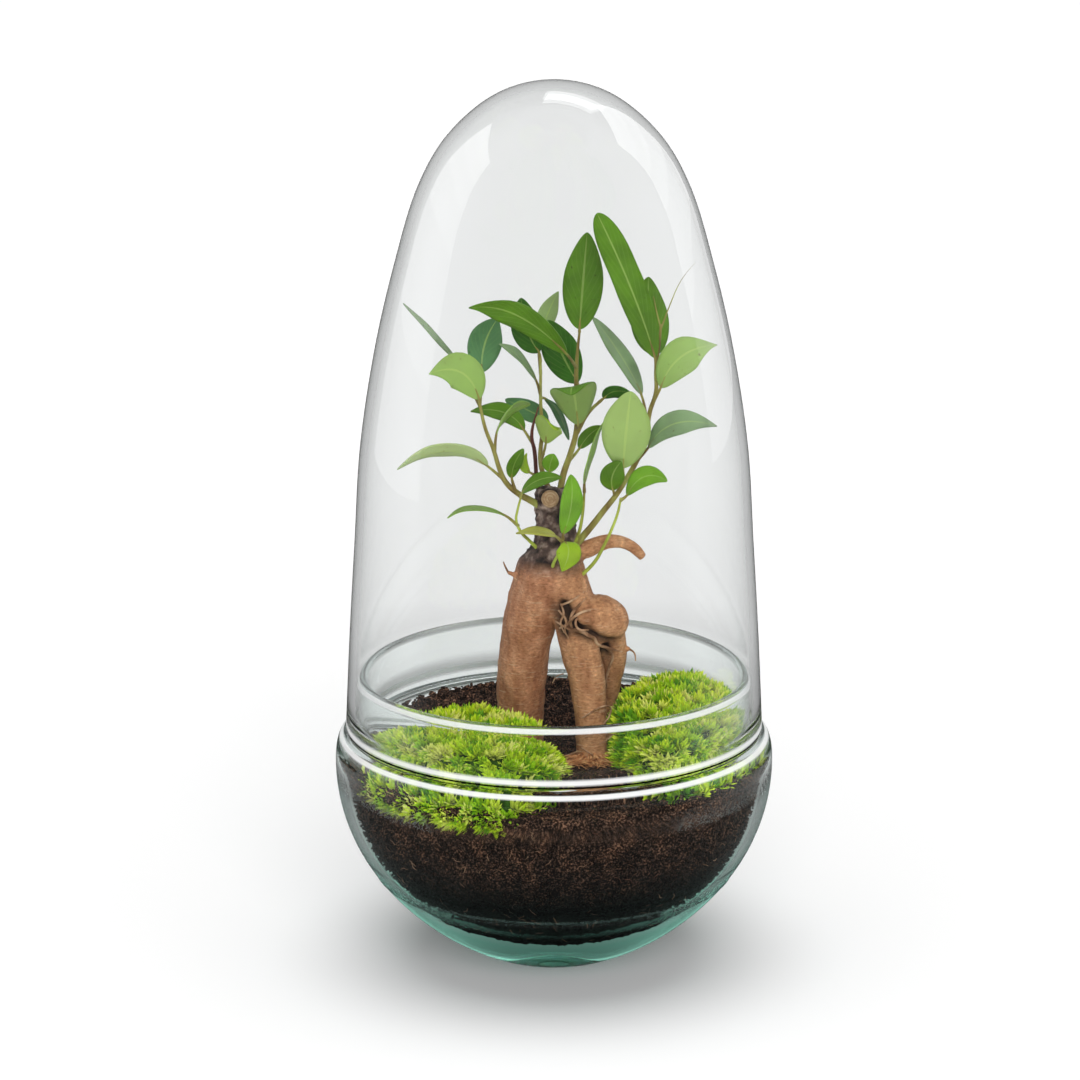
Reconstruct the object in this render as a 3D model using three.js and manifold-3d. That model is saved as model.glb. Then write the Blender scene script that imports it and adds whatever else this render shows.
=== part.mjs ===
// A closed glass terrarium with a young ficus: a thick-bottomed round bowl, an egg-shaped dome that rests
// on the bowl's ledge, potting soil, two moss cushions, a two-legged trunk and its leafy shoots.
// Millimetres, +Z up. The origin is the middle of the bowl's flat base, on the surface it stands on.

import * as THREE from "three";
import { mergeVertices } from "three/addons/utils/BufferGeometryUtils.js";
import Module from "manifold-3d";

const wasm = await Module();
wasm.setup();

// Driving dimensions
const height = 300; // whole terrarium, table to top of dome
const gap = 0.3; // between the dome and the ledge it rests on
const looseGap = 0.5; // between the filling and the glass
const bedGap = 0.5; // between the moss and its bed in the soil
const holeGap = 0.4; // between the trunk and the soil or moss round it
const socketGap = 0.45; // between a twig and the trunk round its foot
const glassSides = 36; // facets round the glass

const baseRadius = 14; // flat spot under the bowl
const bowlRadius = 74; // widest part of the bowl
const bowlWidestZ = 70;
const bottomPull = [27, 0]; // handles of the outside curve from the flat spot to the widest part
const sidePull = [bowlRadius, 24];
const bowlFloor = 8.5; // glass under the soil
const bowlWall = 3.2; // glass at the widest part
const floorPull = 34; // radius of the handle that keeps the inside floor flat
const wallPull = 26; // height of the handle that keeps the inside wall upright
const neckStart = [3, 76.5]; // inside below the collar, as [how far outside it, height]
const neckEnd = 80;
const shoulderZ = 75; // where the wall starts to round over to the ledge
const shoulderOut = 73; // radius of the handle that rounds it over
const ledgeRadius = 70.6; // outer edge of the ledge that carries the dome
const ledgeZ = 79.7;
const collarRadius = 66; // outside of the collar inside the dome
const collarInner = 63;
const collarTop = 101;
const collarBead = 1.7; // half the thickness of its rounded rim
const collarBeadTall = 1.4; // how much taller than thick the rim is

const domeWall = 2.6;
const domeLip = 70.4; // outside of the dome's lower edge
const domeOutline = [
  [18.5, 295.6],
  [34.5, 282.4],
  [44.8, 264.8],
  [52.3, 240.5],
  [59.1, 212],
  [64.4, 179],
  [66.7, 146],
  [68.8, 113],
]; // outside of the dome below its top, as [radius, height]

const soilLevel = 75.5; // soil at the sides of the bowl
const soilRise = 2.5; // how much higher the soil lies in the middle
const soilSlope = 0.045; // rise towards the back, as a share of the depth
const soilRelief = 1.1; // height of its crumbs
const soilRings = [1, 0.93, 0.8, 0.65, 0.5, 0.33, 0.15]; // its rows, as shares of the bowl's radius

const mossRelief = 1.5; // height of the tufts that make the moss bumpy
const mossSides = 38;
const leftMoss = { centre: [-28.5, -32], radii: [33, 39], bottom: 62, top: 90 };
const rightMoss = { centre: [43, -10], radii: [25, 47], bottom: 70, top: 93 };

const bladeThickness = 0.7;
const bladeEnd = 0.4; // half the blade's width at its very base and tip
const bladeFullness = 0.52; // 0.5 gives a blade with round ends, 1 a pointed one
const towardsViewer = new THREE.Vector3(0, -1, 0);

const vec = (p) => new THREE.Vector3(p[0], p[1], p[2]);
const point2 = (p) => new THREE.Vector2(p[0], p[1]);

// A closed geometry as a solid that can be joined and cut
function solid(geometry) {
  const bare = geometry.clone();
  bare.deleteAttribute("normal");
  bare.deleteAttribute("uv");
  const merged = mergeVertices(bare, 1e-4);
  const index = merged.index.array;
  const triangles = [];
  for (let i = 0; i < index.length; i += 3) {
    const [a, b, c] = [index[i], index[i + 1], index[i + 2]];
    if (a !== b && b !== c && c !== a) triangles.push(a, b, c);
  }
  const vertProperties = new Float32Array(merged.attributes.position.array);
  const mesh = new wasm.Mesh({ numProp: 3, vertProperties, triVerts: new Uint32Array(triangles) });
  return new wasm.Manifold(mesh);
}

const join = (solids) => solids.reduce((all, next) => all.add(next));

function geometryOf(body) {
  const { vertProperties, triVerts } = body.getMesh();
  const geometry = new THREE.BufferGeometry();
  geometry.setAttribute("position", new THREE.BufferAttribute(vertProperties, 3));
  geometry.setIndex(new THREE.BufferAttribute(triVerts, 1));
  geometry.computeVertexNormals();
  return geometry;
}

// A profile of [radius, height] turned about the vertical axis
function turned(profile) {
  const geometry = new THREE.LatheGeometry(profile.map(point2), glassSides);
  return geometry.rotateX(Math.PI / 2);
}

function curvePoints(p0, p1, p2, p3, steps) {
  const curve = new THREE.CubicBezierCurve(point2(p0), point2(p1), point2(p2), point2(p3));
  return curve.getPoints(steps).map((p) => [p.x, p.y]);
}

// Part of a round from one angle to another, in degrees, for beads and lips
function roundPoints(centre, radius, from, to, steps, tall = 1) {
  const points = [];
  for (let i = 0; i <= steps; i += 1) {
    const angle = THREE.MathUtils.degToRad(from + ((to - from) * i) / steps);
    points.push([centre[0] + radius * Math.cos(angle), centre[1] + tall * radius * Math.sin(angle)]);
  }
  return points;
}

// The same profile moved inwards by a wall thickness
function insetProfile(profile, wall) {
  return profile.map((p, i) => {
    const before = profile[Math.max(i - 1, 0)];
    const after = profile[Math.min(i + 1, profile.length - 1)];
    const dr = after[0] - before[0];
    const dz = after[1] - before[1];
    const length = Math.hypot(dr, dz);
    return [Math.max(p[0] + (wall * dz) / length, 0), p[1] - (wall * dr) / length];
  });
}

// Bowl: thick floor, wall that thins upwards, ledge for the dome and a beaded collar
function cavityProfile(clearance) {
  const widest = bowlRadius - bowlWall - clearance;
  const floor = bowlFloor + clearance;
  const wall = curvePoints([0, floor], [floorPull, floor], [widest, wallPull], [widest, bowlWidestZ], 7);
  const shoulder = curvePoints(
    [widest, bowlWidestZ],
    [widest, shoulderZ],
    [collarInner + neckStart[0] - clearance, neckStart[1] - clearance],
    [collarInner - clearance, neckEnd - clearance],
    3,
  );
  return [...wall, ...shoulder.slice(1)];
}

function glassBowl() {
  const beadCentre = [(collarRadius + collarInner) / 2, collarTop - collarBead * collarBeadTall];
  const outside = curvePoints([baseRadius, 0], bottomPull, sidePull, [bowlRadius, bowlWidestZ], 7);
  const shoulder = curvePoints(
    [bowlRadius, bowlWidestZ],
    [bowlRadius, shoulderZ],
    [shoulderOut, ledgeZ],
    [ledgeRadius, ledgeZ],
    3,
  );
  const profile = [
    [0, 0],
    ...outside,
    ...shoulder.slice(1),
    [collarRadius, ledgeZ],
    ...roundPoints(beadCentre, collarBead, -20, 200, 6, collarBeadTall),
    ...cavityProfile(0).reverse(),
  ];
  return solid(turned(profile));
}

// Dome: one smooth outline outside, the same outline one wall in, and a rounded lip
function glassDome() {
  const lipZ = ledgeZ + gap + domeWall / 2;
  const [r, z] = domeOutline[0];
  const across = [[-r, z], [0, height], ...domeOutline, [domeLip, lipZ]];
  const spline = new THREE.SplineCurve(across.map(point2));
  const steps = 14;
  const top = 1 / (across.length - 1);
  const share = (i) => 1 - ((1 - top) * i) / steps;
  const outside = Array.from({ length: steps + 1 }, (_, i) => spline.getPoint(share(i)).toArray());
  const inside = insetProfile(outside, -domeWall).reverse();
  inside[0] = [0, height - domeWall];
  const lipCentre = [domeLip - domeWall / 2, lipZ];
  const lip = roundPoints(lipCentre, domeWall / 2, -180, 0, 4).slice(1, -1);
  outside[steps] = [0, height];
  return solid(turned([...outside, ...inside, ...lip, outside[0]]));
}

// Bumps that stay the same for the same place, between about -1 and 1
function bumps(x, y, z, size) {
  const a = Math.sin((x + 0.6 * y) / size + 1.7) * Math.cos((y - 0.4 * z) / size);
  const b = Math.sin((1.9 * y + 0.8 * z) / size) * Math.cos((1.7 * x - 0.5 * y) / size + 0.6);
  return 0.6 * a + 0.4 * b;
}

function moveVertices(geometry, change) {
  const position = geometry.attributes.position;
  const p = new THREE.Vector3();
  for (let i = 0; i < position.count; i += 1) {
    p.fromBufferAttribute(position, i);
    change(p);
    position.setXYZ(i, p.x, p.y, p.z);
  }
  return geometry;
}

// Soil: fills the bowl, rises a little to the middle and the back, with a crumbly top
function soilBody() {
  const top = soilRings.map((share) => [bowlRadius * share, soilLevel]);
  const profile = [[0, 0], [bowlRadius, 0], ...top, [0, soilLevel]];
  const heap = (p) => {
    const share = Math.hypot(p.x, p.y) / bowlRadius;
    const level = soilLevel + soilSlope * p.y + soilRise * (1 - share * share);
    if (p.z > 0) p.z = level + soilRelief * bumps(p.x, p.y, 0, 4);
  };
  return solid(moveVertices(turned(profile), heap)).intersect(cavity(looseGap));
}

// A moss cushion: a flat-bottomed mound with bumps all over, cut off where it meets the glass
const moundProfile = [
  [0, 0],
  [0.94, 0],
  [0.99, 0.25],
  [1, 0.5],
  [0.96, 0.7],
  [0.88, 0.83],
  [0.76, 0.92],
  [0.6, 0.97],
  [0.42, 1],
  [0.22, 1.01],
  [0, 1],
];

function mossCushion({ centre, radii, bottom, top }, grow) {
  const mound = new THREE.LatheGeometry(moundProfile.map(point2), mossSides).rotateX(Math.PI / 2);
  const cushion = moveVertices(mound, (p) => {
    const isTop = p.z > 0.01;
    const rough = isTop ? mossRelief * bumps(40 * p.x, 40 * p.y, 40 * p.z, 1.9) : 0;
    const spread = Math.hypot(p.x, p.y);
    const out = spread > 0 ? (rough * spread) / Math.max(radii[0], radii[1]) : 0;
    p.x *= (radii[0] + grow) * (1 + out);
    p.y *= (radii[1] + grow) * (1 + out);
    p.z = isTop ? bottom + p.z * (top + grow - bottom) + rough : bottom - grow;
    p.add(vec([...centre, 0]));
  });
  return solid(cushion);
}

// The room that the bowl leaves for soil and moss
function cavity(clearance) {
  const profile = cavityProfile(clearance);
  return solid(turned([...profile, [collarInner - clearance, collarTop], [0, collarTop]]));
}

// A tapered limb through points of [x, y, z, radius], with rounded unevenness where wanted
function limb(points, sides, { grow = 0, uneven = 0 } = {}) {
  const path = points.map(vec);
  const first = path[0].clone().sub(path[1]).setLength(grow);
  const last = path[path.length - 1].clone().sub(path[path.length - 2]).setLength(grow);
  path[0].add(first);
  path[path.length - 1].add(last);
  const curve = new THREE.CatmullRomCurve3(path, false, "centripetal");
  const steps = points.length - 1;
  const frames = curve.computeFrenetFrames(steps, false);
  const tube = new THREE.CylinderGeometry(1, 1, 1, sides, steps);
  return solid(
    moveVertices(tube, (p) => {
      const step = Math.round((p.y + 0.5) * steps);
      const share = step / steps;
      const place = curve.getUtoTmapping(share) * (points.length - 1);
      const here = Math.min(Math.floor(place), points.length - 2);
      const radius = THREE.MathUtils.lerp(points[here][3], points[here + 1][3], place - here) + grow;
      const out = frames.normals[step].clone();
      const across = out.clone().cross(frames.tangents[step]);
      const ripple = 1 + uneven * Math.sin(3 * Math.atan2(p.z, p.x) + 5 * share);
      const offset = out.multiplyScalar(p.x).addScaledVector(across, p.z).multiplyScalar(radius * ripple);
      p.copy(curve.getPointAt(share)).add(offset);
    }),
  );
}

function lump(centre, radii, grow) {
  const ball = new THREE.SphereGeometry(1, 12, 7);
  ball.rotateX(Math.PI / 2);
  ball.scale(radii[0] + grow, radii[1] + grow, radii[2] + grow);
  ball.translate(centre[0], centre[1], centre[2]);
  return solid(ball);
}

// Trunk: swollen roots that grew together, a neck with a sawn stub, a side root and the foot roots
const leftLeg = [
  [-12, 9, 62, 6.6],
  [-11.5, 8, 80, 7.6],
  [-11, 6, 95, 8.2],
  [-9.5, 4, 109, 8.3],
  [-7.3, 1.5, 120, 9.1],
  [-4, -0.6, 129, 10.2],
  [-1.6, -1.8, 135, 11],
  [-0.1, -2, 139.5, 9.4],
  [0.7, -1.7, 143.5, 7.7],
  [0.4, -0.8, 151, 6.4],
  [-1.1, 0.3, 159, 5],
  [-1.2, 0.6, 163.5, 4.6],
];
const rightLeg = [
  [2.5, -2.5, 137, 7.4],
  [4.6, -4, 129, 7.8],
  [8, -6, 118, 7.4],
  [9.2, -8, 109, 6.5],
  [10.9, -10, 102, 6.1],
  [11.7, -12, 94, 5.5],
  [12.3, -14, 85, 4.8],
  [12.2, -15, 76, 4.7],
  [12, -15, 64, 4],
];
const backLeg = [
  [18, -3, 115, 5.8],
  [20, 0, 105, 3.8],
  [19.5, 2, 97, 3],
  [18.8, 4, 89, 2.2],
  [18.2, 5.5, 78, 1.5],
  [18, 6, 66, 1.1],
];
const sideRoot = [
  [6, 0, 141, 3],
  [10.5, 0, 142.5, 2.7],
  [15.5, 0, 144.5, 2.4],
  [20.5, 0, 145.3, 2],
  [24.7, -0.5, 144.5, 1.8],
  [27.7, -1, 142.5, 1.5],
  [29.7, -1, 140, 1.1],
];
const stub = [
  [-1.2, -0.5, 158.5, 4.6],
  [-1.3, -6.5, 161.6, 3.9],
];
const twiglets = [
  [[-9, -3, 132.5, 0.8], [-15.5, -4.5, 136, 0.5]],
  [[20, -2, 108, 0.8], [25.5, -4, 109, 0.5]],
];
const knobNeck = [
  [2, -3, 128, 7.6],
  [9, -5.5, 122.5, 7],
  [13.5, -6, 120, 7],
];
const knobCentre = [14.6, -6, 119.6];
const knobRadii = [10, 7.8, 8.4];
const nubCentre = [9.9, -12.4, 122.3];
const nubRadii = [3.4, 3, 2.9];
const crevice = [
  [3.4, -11.5, 126.5, 0.7],
  [5, -13, 122.5, 1],
  [7, -14, 119.4, 1.2],
  [10.4, -14.6, 117.4, 1.2],
  [14.7, -14.4, 115, 1.1],
  [17.5, -13.2, 112.6, 1],
  [21, -10, 110.4, 0.8],
];
const footCentre = [12.2, -15];
const footRoots = 6;
const footRootReach = 8;

function footRoot(i) {
  const angle = (2 * Math.PI * i) / footRoots + 0.4;
  const reach = footRootReach * (1 + 0.25 * Math.sin(4 * i));
  const [cx, cy] = footCentre;
  return [
    [cx + 2.5 * Math.cos(angle), cy + 2.5 * Math.sin(angle), 79, 1.6],
    [cx + 0.7 * reach * Math.cos(angle), cy + 0.7 * reach * Math.sin(angle), 76, 1.1],
    [cx + reach * Math.cos(angle), cy + reach * Math.sin(angle), 71, 0.7],
  ];
}

function trunkBody(grow) {
  const legs = [
    limb(leftLeg, 10, { grow, uneven: 0.03 }),
    limb(rightLeg, 10, { grow, uneven: 0.03 }),
    limb(backLeg, 7, { grow }),
    limb(sideRoot, 7, { grow }),
    limb(stub, 10, { grow }),
    limb(knobNeck, 9, { grow }),
    lump(knobCentre, knobRadii, grow),
    lump(nubCentre, nubRadii, grow),
  ];
  const small = twiglets.map((points) => limb(points, 5, { grow }));
  const roots = Array.from({ length: footRoots }, (_, i) => limb(footRoot(i), 5, { grow }));
  return join([...legs, ...small, ...roots]);
}

// A leaf blade along its rib, creased at the rib. Roll 0 turns its upper face to the viewer.
function blade({ base, bend, tip, width, roll, fold }) {
  const rows = width > 7 ? 6 : 4;
  const rib = new THREE.QuadraticBezierCurve3(vec(base), vec(bend), vec(tip));
  const along = vec(tip).sub(vec(base)).normalize();
  const across = along.clone().cross(towardsViewer).normalize();
  across.applyAxisAngle(along, THREE.MathUtils.degToRad(roll));
  const upper = [];
  const lower = [];
  for (let i = 0; i <= rows; i += 1) {
    const t = (1 - Math.cos((Math.PI * i) / rows)) / 2;
    const centre = rib.getPoint(t);
    const tangent = rib.getTangent(t);
    const side = across.clone().addScaledVector(tangent, -across.dot(tangent)).normalize();
    const face = side.clone().cross(tangent);
    const half = Math.max(bladeEnd, (width / 2) * Math.sin(Math.PI * t) ** bladeFullness);
    for (const edge of [-1, 0, 1]) {
      const place = centre.clone().addScaledVector(side, edge * half);
      place.addScaledVector(face, Math.abs(edge) * fold * half);
      upper.push(place.clone().addScaledVector(face, bladeThickness / 2));
      lower.push(place.clone().addScaledVector(face, -bladeThickness / 2));
    }
  }
  const count = upper.length;
  const index = [];
  const quad = (a, b, c, d) => index.push(a, b, c, a, c, d);
  for (let i = 0; i < rows; i += 1) {
    const [a, d] = [3 * i, 3 * i + 3];
    for (const j of [0, 1]) {
      quad(a + j, a + j + 1, d + j + 1, d + j);
      index.push(count + a + j, count + d + j + 1, count + a + j + 1);
      index.push(count + a + j, count + d + j, count + d + j + 1);
    }
    quad(count + a, a, d, count + d);
    quad(count + a + 2, count + d + 2, d + 2, a + 2);
  }
  const end = 3 * rows;
  for (const j of [0, 1]) {
    quad(count + j, count + j + 1, j + 1, j);
    quad(count + end + j, end + j, end + j + 1, count + end + j + 1);
  }
  const geometry = new THREE.BufferGeometry().setFromPoints([...upper, ...lower]);
  geometry.setIndex(index);
  return solid(geometry);
}

// The point of a twig at a height, where a leaf stalk leaves it
function pointAtHeight(stem, z) {
  const curve = new THREE.CatmullRomCurve3(stem.map(vec), false, "centripetal");
  const points = curve.getPoints(60);
  return points.reduce((best, p) => (Math.abs(p.z - z) < Math.abs(best.z - z) ? p : best));
}

function leafStalk(stem, { off, base, bend, tip }) {
  const start = pointAtHeight(stem, off);
  const rib = new THREE.QuadraticBezierCurve3(vec(base), vec(bend), vec(tip));
  const end = rib.getPoint(0.14);
  return limb([[...start, 0.55], [...base, 0.45], [...end, 0.4]], 4);
}

// A leaf: the height where its stalk leaves the twig, then the blade's base, the point that its rib
// bends towards, its tip, its width, its roll in degrees and how far its halves fold up
const leaf = (off, base, bend, tip, width, roll, fold, stem = 0) => (
  { off, base, bend, tip, width, roll, fold, stem }
);

// Shoots: each has twigs through [x, y, z, radius] and leaves
const shoots = {
  shoot_left: {
    stems: [
      [
        [-3.5, -1.5, 157, 1.4],
        [-7.5, -3, 160, 1.3],
        [-11.5, -4, 162.5, 1.15],
        [-16, -7, 167.5, 1],
        [-18, -9, 172.5, 0.9],
        [-20, -10, 179.5, 0.8],
        [-22.5, -11, 186.5, 0.7],
        [-24.5, -12, 196, 0.6],
      ],
    ],
    leaves: [
      leaf(195, [-24.5, -13, 197], [-28, -20, 212.5], [-40.5, -16, 206], 12.5, 180, 0.12),
      leaf(195, [-24, 5, 202], [-25, 14, 210], [-19, 19, 217], 11.5, 0, 0.15),
      leaf(194, [-32, -2, 207], [-39, 0, 215], [-50, 2, 226], 5, 78, 0.2),
      leaf(168, [-22, -11, 174], [-34, -20, 187], [-51, -16, 174], 10, 128, 0.2),
      leaf(178, [-19, -8, 184], [-17, -2, 193], [-8, 5, 191], 7.5, 60, 0.25),
      leaf(164, [-14, -7, 169], [-14, -11, 175], [-10, -12, 180], 5, 20, 0.25),
    ],
  },
  shoot_middle: {
    stems: [
      [
        [-0.8, 3.8, 160, 1.2],
        [-3, 4.4, 165.5, 1],
        [-4.5, 5, 171, 0.9],
        [-4, 8, 181.5, 0.75],
        [-4.5, 10, 191.5, 0.65],
        [-4.5, 11, 199.5, 0.6],
        [-4.5, 12, 205, 0.5],
      ],
    ],
    leaves: [
      leaf(204, [-5, 13, 207], [-10, 18, 212], [-11, 15, 225], 10.5, 5, 0.15),
      leaf(200, [-5, 27, 208], [-3, 31, 216], [1.5, 31, 224], 6.5, 180, 0.2),
      leaf(193, [-6, 6, 199], [-11, 1, 209], [-18, -2, 213], 6, 75, 0.25),
      leaf(171, [-2.7, 0, 179], [-2.5, -7, 190.5], [1, -11, 186], 10, 172, 0.15),
      leaf(181, [-2, 16, 183], [-7, 21, 184.5], [-16.5, 20, 189.3], 7, 15, 0.2),
      leaf(192, [-3, 14, 191], [2, 18, 188], [5, 17, 176], 5, 50, 0.25),
      leaf(166, [-1.5, -3, 170], [-1.5, -6, 174], [0, -7, 177], 5.6, 0, 0.15),
    ],
  },
  shoot_short: {
    stems: [
      [
        [-4, 2, 159.5, 0.9],
        [-5.8, 0.5, 165, 0.85],
        [-6, -1, 170, 0.8],
        [-6.5, -2, 177, 0.8],
        [-7.4, -2, 182, 0.7],
        [-5.2, -2, 191.8, 0.4],
      ],
    ],
    leaves: [
      leaf(179, [-10, 2, 183], [-15, 10, 190], [-28, 12, 187], 6.5, 35, 0.2),
      leaf(168, [-8, -4, 170], [-12, -6, 173], [-9, -6, 177], 4, 50, 0.25),
    ],
  },
  shoot_tall: {
    stems: [
      [
        [1.8, 1.2, 160, 1.3],
        [3, 3, 167, 1.2],
        [5.5, 6, 174, 1.1],
        [7.5, 8, 181.5, 1],
        [7.5, 10, 191.5, 0.9],
        [7.5, 12, 202, 0.8],
        [8, 12, 209, 0.6],
        [8.5, 12, 214, 0.5],
      ],
      [
        [7.5, 8, 180, 0.8],
        [11.5, 6, 188, 0.75],
        [15.5, 4, 192.5, 0.6],
      ],
    ],
    leaves: [
      leaf(214, [8.5, 12, 215], [9.5, 17, 228], [11, 10, 248], 13.6, 5, 0.12),
      leaf(202, [4, 2, 209], [-13, -10, 230], [-27.5, -16, 228], 10, -20, 0.2),
      leaf(194, [8, 16, 196], [2, 24, 204], [-2, 22, 216], 12.5, 0, 0.12),
      leaf(182, [8, 2, 185], [6, -9, 206], [5.5, -16, 199], 15.5, 180, 0.15),
      leaf(192, [16.5, 3.5, 193.5], [19.5, 2, 198], [25.5, 0, 196], 6, 32, 0.2, 1),
      leaf(171, [8.5, 9, 175], [11, 10, 180], [16, 8, 183], 6, 25, 0.2),
    ],
  },
  shoot_right: {
    stems: [
      [
        [5.5, -3, 143, 1.7],
        [12, -6, 151.5, 1.35],
        [16.5, -8, 158, 1.2],
        [20.5, -9, 163.5, 1.1],
        [24, -10, 169.5, 1.05],
        [27, -10, 175, 1],
        [30, -9, 182, 0.9],
        [31.5, -8, 191.5, 0.85],
        [33.5, -7, 198, 0.8],
        [33.5, -6, 205, 0.75],
        [34.5, -6, 214.5, 0.65],
        [35, -6, 220.5, 0.5],
      ],
      [
        [35, -6, 219, 0.5],
        [37.5, -6, 226, 0.45],
        [41.5, -5, 235, 0.4],
        [46, -5, 241, 0.35],
      ],
      [
        [35, -6, 219, 0.5],
        [33.5, -7, 225, 0.45],
        [32.5, -7, 230, 0.35],
      ],
    ],
    leaves: [
      leaf(168, [22.7, -14, 174], [23.2, -22, 188], [25, -15, 200], 16, 180, 0.1),
      leaf(163, [19.5, -12, 166], [17.5, -17, 172], [22, -17, 177], 8, 0, 0.15),
      leaf(175, [31, -14, 181], [37, -23, 195.5], [52.3, -21, 189.7], 8.8, -38, 0.2),
      leaf(194, [35, -9, 200], [39, -15, 215], [53, -8, 214], 12, 165, 0.15),
      leaf(205, [33, -9, 210], [27, -15, 232], [14, -4, 257], 12, 8, 0.18),
      leaf(206, [34, 0, 209], [31, 10, 216], [31.5, 11, 233], 12.8, 0, 0.12),
      leaf(187, [29, 3, 195], [23.5, 12, 206], [13, 17, 218], 8, 52, 0.2),
    ],
  },
  shoot_low_right: {
    stems: [
      [
        [8, -5.5, 134, 0.8],
        [13.5, -10, 141, 0.7],
        [16.5, -12, 147, 0.65],
        [19, -13.5, 153, 0.6],
        [21, -14.5, 159, 0.55],
        [22, -14.5, 164, 0.5],
      ],
    ],
    leaves: [
      leaf(163, [24, -15, 165], [29, -18, 176], [37, -16, 170], 7, -30, 0.25),
    ],
  },
  shoot_front_thin: {
    stems: [
      [
        [5, -5.5, 142, 0.8],
        [8, -9.5, 150, 0.7],
        [9.5, -11, 158, 0.6],
        [10, -11, 165, 0.5],
      ],
    ],
    leaves: [
      leaf(165, [10, -11.5, 168], [10.5, -15, 179], [16, -13, 189], 6.5, 72, 0.25),
    ],
  },
  shoot_front: {
    stems: [
      [
        [-1, -8, 136, 0.8],
        [0, -12.5, 141.5, 0.65],
        [2, -14.5, 146, 0.6],
        [3, -14.5, 150, 0.5],
      ],
    ],
    leaves: [
      leaf(150, [3, -15, 152], [7, -20, 163], [5.5, -15, 172], 7.6, 15, 0.2),
      leaf(149, [0.5, -14.5, 151], [-5, -17, 154.5], [-12.5, -13, 151.5], 4.6, 68, 0.2),
      leaf(147, [3.6, -16, 149.3], [6.5, -21, 148], [2.6, -18, 140], 8.2, 0, 0.12),
    ],
  },
  shoot_low_left: {
    stems: [
      [
        [-4.5, -4, 143, 0.8],
        [-8.5, -8, 148, 0.65],
        [-11, -9, 151, 0.6],
        [-12.5, -9.5, 155, 0.55],
        [-12, -10.5, 159, 0.5],
        [-11, -11, 163, 0.45],
      ],
    ],
    leaves: [
      leaf(153, [-16, -11, 157], [-28, -14, 163], [-35, -14, 157], 4, 80, 0.25),
      leaf(163, [-10.5, -12, 165], [-6, -17, 172.3], [2.5, -15, 171], 5.2, -45, 0.2),
    ],
  },
};

const stemBody = (stem, grow) => limb(stem, 5, { grow });

function shootBody({ stems, leaves }) {
  const twigs = stems.map((stem) => stemBody(stem, 0));
  const stalks = leaves.map((grown) => leafStalk(stems[grown.stem], grown));
  return join([...twigs, ...stalks, ...leaves.map(blade)]);
}

// Assembly
const trunkHole = trunkBody(holeGap);
const room = cavity(looseGap);
const leftMossBody = mossCushion(leftMoss, 0).intersect(room).subtract(trunkHole);
const rightMossBody = mossCushion(rightMoss, 0).intersect(room).subtract(trunkHole);
const mossBeds = [mossCushion(leftMoss, bedGap), mossCushion(rightMoss, bedGap)];
const soil = mossBeds.reduce((body, bed) => body.subtract(bed), soilBody().subtract(trunkHole));
const twigSockets = Object.values(shoots).map(({ stems }) => stemBody(stems[0], socketGap));
const creased = trunkBody(0).subtract(limb(crevice, 7));
const trunk = twigSockets.reduce((body, socket) => body.subtract(socket), creased);

const part = new THREE.Group();

function addPiece(name, body, color, roughness) {
  const material = new THREE.MeshStandardMaterial({ color, roughness, metalness: 0 });
  const mesh = new THREE.Mesh(geometryOf(body), material);
  mesh.name = name;
  part.add(mesh);
}

addPiece("glass_bowl", glassBowl(), 0xcfe8df, 0.02);
addPiece("glass_dome", glassDome(), 0xe4efec, 0.02);
addPiece("soil", soil, 0x2b1e17, 0.95);
addPiece("moss_left", leftMossBody, 0x6f9a1e, 0.9);
addPiece("moss_right", rightMossBody, 0x6f9a1e, 0.9);
addPiece("trunk", trunk, 0x7d5236, 0.75);
for (const [name, shoot] of Object.entries(shoots)) addPiece(name, shootBody(shoot), 0x4f8a34, 0.5);

export default part;
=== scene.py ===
import math
import random

import bmesh
import bpy
import numpy as np
from mathutils import Matrix, Vector, geometry, noise


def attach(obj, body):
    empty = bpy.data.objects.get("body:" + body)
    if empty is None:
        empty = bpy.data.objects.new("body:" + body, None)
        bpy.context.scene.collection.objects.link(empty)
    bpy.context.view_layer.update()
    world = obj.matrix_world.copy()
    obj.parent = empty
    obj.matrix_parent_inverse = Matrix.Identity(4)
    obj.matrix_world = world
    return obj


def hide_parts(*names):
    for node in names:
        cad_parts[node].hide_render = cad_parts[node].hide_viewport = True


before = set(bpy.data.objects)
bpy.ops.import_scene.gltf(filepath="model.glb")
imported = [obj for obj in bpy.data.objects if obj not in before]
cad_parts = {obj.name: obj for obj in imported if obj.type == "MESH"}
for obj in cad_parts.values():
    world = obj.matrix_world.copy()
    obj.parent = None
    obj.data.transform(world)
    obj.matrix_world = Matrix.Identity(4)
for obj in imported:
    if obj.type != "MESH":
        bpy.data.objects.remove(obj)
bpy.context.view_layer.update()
bpy.ops.object.select_all(action="DESELECT")

# The photo's viewpoint: a long lens a little above the glass, 1.3 m from the middle of the terrarium.
# The small shift puts the terrarium where the photo has it, just right of and above the frame's middle.
HALF_HEIGHT = 0.15
CAMERA_DISTANCE = 1.3
CAMERA_TILT = math.radians(14.83)
FOCAL_LENGTH = 129.6
SENSOR_WIDTH = 36
PHOTO_SIZE = 1080
SHIFT_PIXELS = (-14, -12.7)
bpy.ops.object.camera_add(
    location=(
        0,
        -CAMERA_DISTANCE * math.cos(CAMERA_TILT),
        HALF_HEIGHT + CAMERA_DISTANCE * math.sin(CAMERA_TILT),
    ),
    rotation=(math.pi / 2 - CAMERA_TILT, 0, 0),
)
camera = bpy.context.object
camera.data.sensor_width = SENSOR_WIDTH
camera.data.lens = FOCAL_LENGTH
camera.data.shift_x, camera.data.shift_y = (pixels / PHOTO_SIZE for pixels in SHIFT_PIXELS)
bpy.context.scene.camera = camera

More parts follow.
